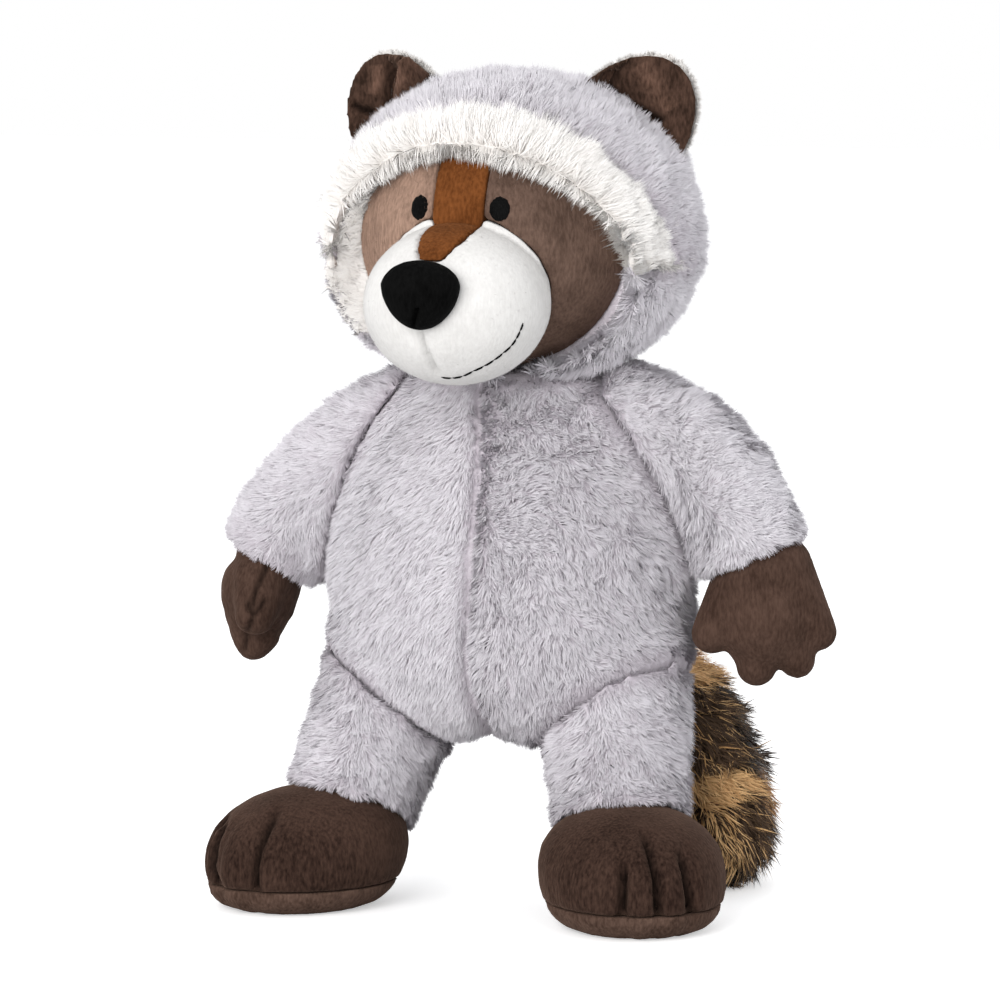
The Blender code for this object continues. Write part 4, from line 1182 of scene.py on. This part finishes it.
stitches = bpy.data.curves.new("mouth_stitches", "CURVE")
stitches.dimensions = "3D"
stitches.bevel_depth = THREAD_HALF
stitches.bevel_resolution = 2
stitches.use_fill_caps = True
for start, end in zip(SMILE, SMILE[1:]):
    run = stitches.splines.new("POLY")
    run.points.add(STITCH_PARTS)
    for i, point in enumerate(run.points):
        t = 0.03 + 0.94 * i / STITCH_PARTS
        place, out = on_muzzle((start[0] * (1 - t) + end[0] * t, start[1] * (1 - t) + end[1] * t))
        sunk = i in (0, STITCH_PARTS)
        point.co = (*(place + out * (-STITCH_LIFT if sunk else STITCH_LIFT)), 1)
        point.radius = 0.7 if sunk else 1
mouth = bpy.data.objects.new("mouth_stitches", stitches)
bpy.context.scene.collection.objects.link(mouth)
pick_only(mouth)
bpy.ops.object.convert(target="MESH")
mouth = bpy.context.object
dress(mouth, thread_cloth, "thread_black", "mouth_thread")

# The paws: dark brown velour mittens with a thumb and three fingers, held in the sleeves' hems.
# Each is two halves, sewn together and stuffed.
# PAW_OVAL has rows of the picture, each with the places of the right paw's two sides.
paw_cloth = velour("paw_velour", (0.036, 0.020, 0.0145), (0.080, 0.047, 0.035), BROWN_GLOW)
PAW_SEAM = ((272, 552), (266, 570), (257, 587), (253, 600), (252, 612))
THUMB_FOLD = ((247, 598), (248, 607), (254, 614), (262, 606), (268, 596))
PAW_TIP_SEAM = ((254, 614), (249, 628), (245, 642), (243, 656))
PAW_OVAL = np.array([(560, 222, 306), (584, 221, 303), (600, 221, 299), (616, 224, 294), (632, 229, 285),
                     (645, 233, 278), (652, 236, 273), (657, 239, 269), (661, 242, 265)])
PAW_ROW_STEP, PAW_ROW_REACH, PAW_FADE_ROWS = 5, 4, 20


def round_off(obj):
    """Fills the right paw's tip out towards the oval that it shows from in front."""
    points = places(obj)
    across, down = seen(points).T
    top, foot = PAW_OVAL[0, 0], min(PAW_OVAL[-1, 0], down.max())
    rows = np.arange(top, foot, PAW_ROW_STEP)
    by_row = [across[np.abs(down - row) < PAW_ROW_REACH] for row in rows]
    left = np.interp(down, rows, [row.min() for row in by_row])
    right = np.interp(down, rows, [row.max() for row in by_row])
    new_left, new_right = (np.interp(down, PAW_OVAL[:, 0], PAW_OVAL[:, i]) for i in (1, 2))
    moved = new_left + (across - left) / (right - left) * (new_right - new_left) - across
    moved *= np.clip((down - top) / PAW_FADE_ROWS, 0, 1) * PICTURE_WIDTH / PICTURE_PIXELS
    put_back(obj, points + np.array(camera_right) * moved[:, None])
    work(obj, "SMOOTH", factor=0.5, iterations=5)


for word in ("left", "right"):
    paw = panel("paw_mitten_" + word, "paw_" + word, 0.0013, 9)
    if word == "right":
        for repeat in range(2):
            round_off(paw)
        # The pressed seams and the thumb's fold get painted shade in the velour.
        for line, depth in ((PAW_SEAM, 0.0018), (THUMB_FOLD, 0.0016), (PAW_TIP_SEAM, 0.0018)):
            press(paw, line, 0.0012, depth)
    dress(paw, paw_cloth, "paw_brown", "paw_" + word, fill=0.7)

# The feet: stuffed uppers of the same velour, whose seams part the toes, sewn over a lighter sole panel.
# The seams are drawn tight, and painted shade darkens the cloth in them.
foot_cloth = velour("foot_velour", (0.012, 0.006, 0.0045), (0.060, 0.034, 0.025), BROWN_GLOW, sheen=0.2,
                    patch=34, fold=0.15)
sole_cloth = velour("sole_velour", (0.045, 0.026, 0.019), (0.120, 0.074, 0.056), BROWN_GLOW)
TOE_SEAM_WIDTH = 0.0015
TOE_SEAM_DEPTH = 0.0032
TOE_LINES = {
    "left": (((623, 862), (623, 890), (622, 920), (616, 945)),
             ((641, 828), (649, 850), (657, 880), (660, 935)),
             ((679, 848), (686, 870), (691, 900), (690, 940))),
    "right": (((281, 803), (262, 840), (254, 868), (256, 902), (271, 920)),
              ((229, 807), (214, 841), (210, 868), (222, 900))),
}
for word in ("left", "right"):
    foot = panel("foot_upper_" + word, "foot_" + word, 0.0018, 5)
    for line in TOE_LINES[word]:
        press(foot, line, TOE_SEAM_WIDTH, TOE_SEAM_DEPTH)
    dress(foot, foot_cloth, "paw_brown", "foot_" + word, fill=0.8)
    sole = panel("sole_panel_" + word, "sole_" + word, 0.0020, 2)
    dress(sole, sole_cloth, "sole_brown", "sole_" + word, fill=0.8)
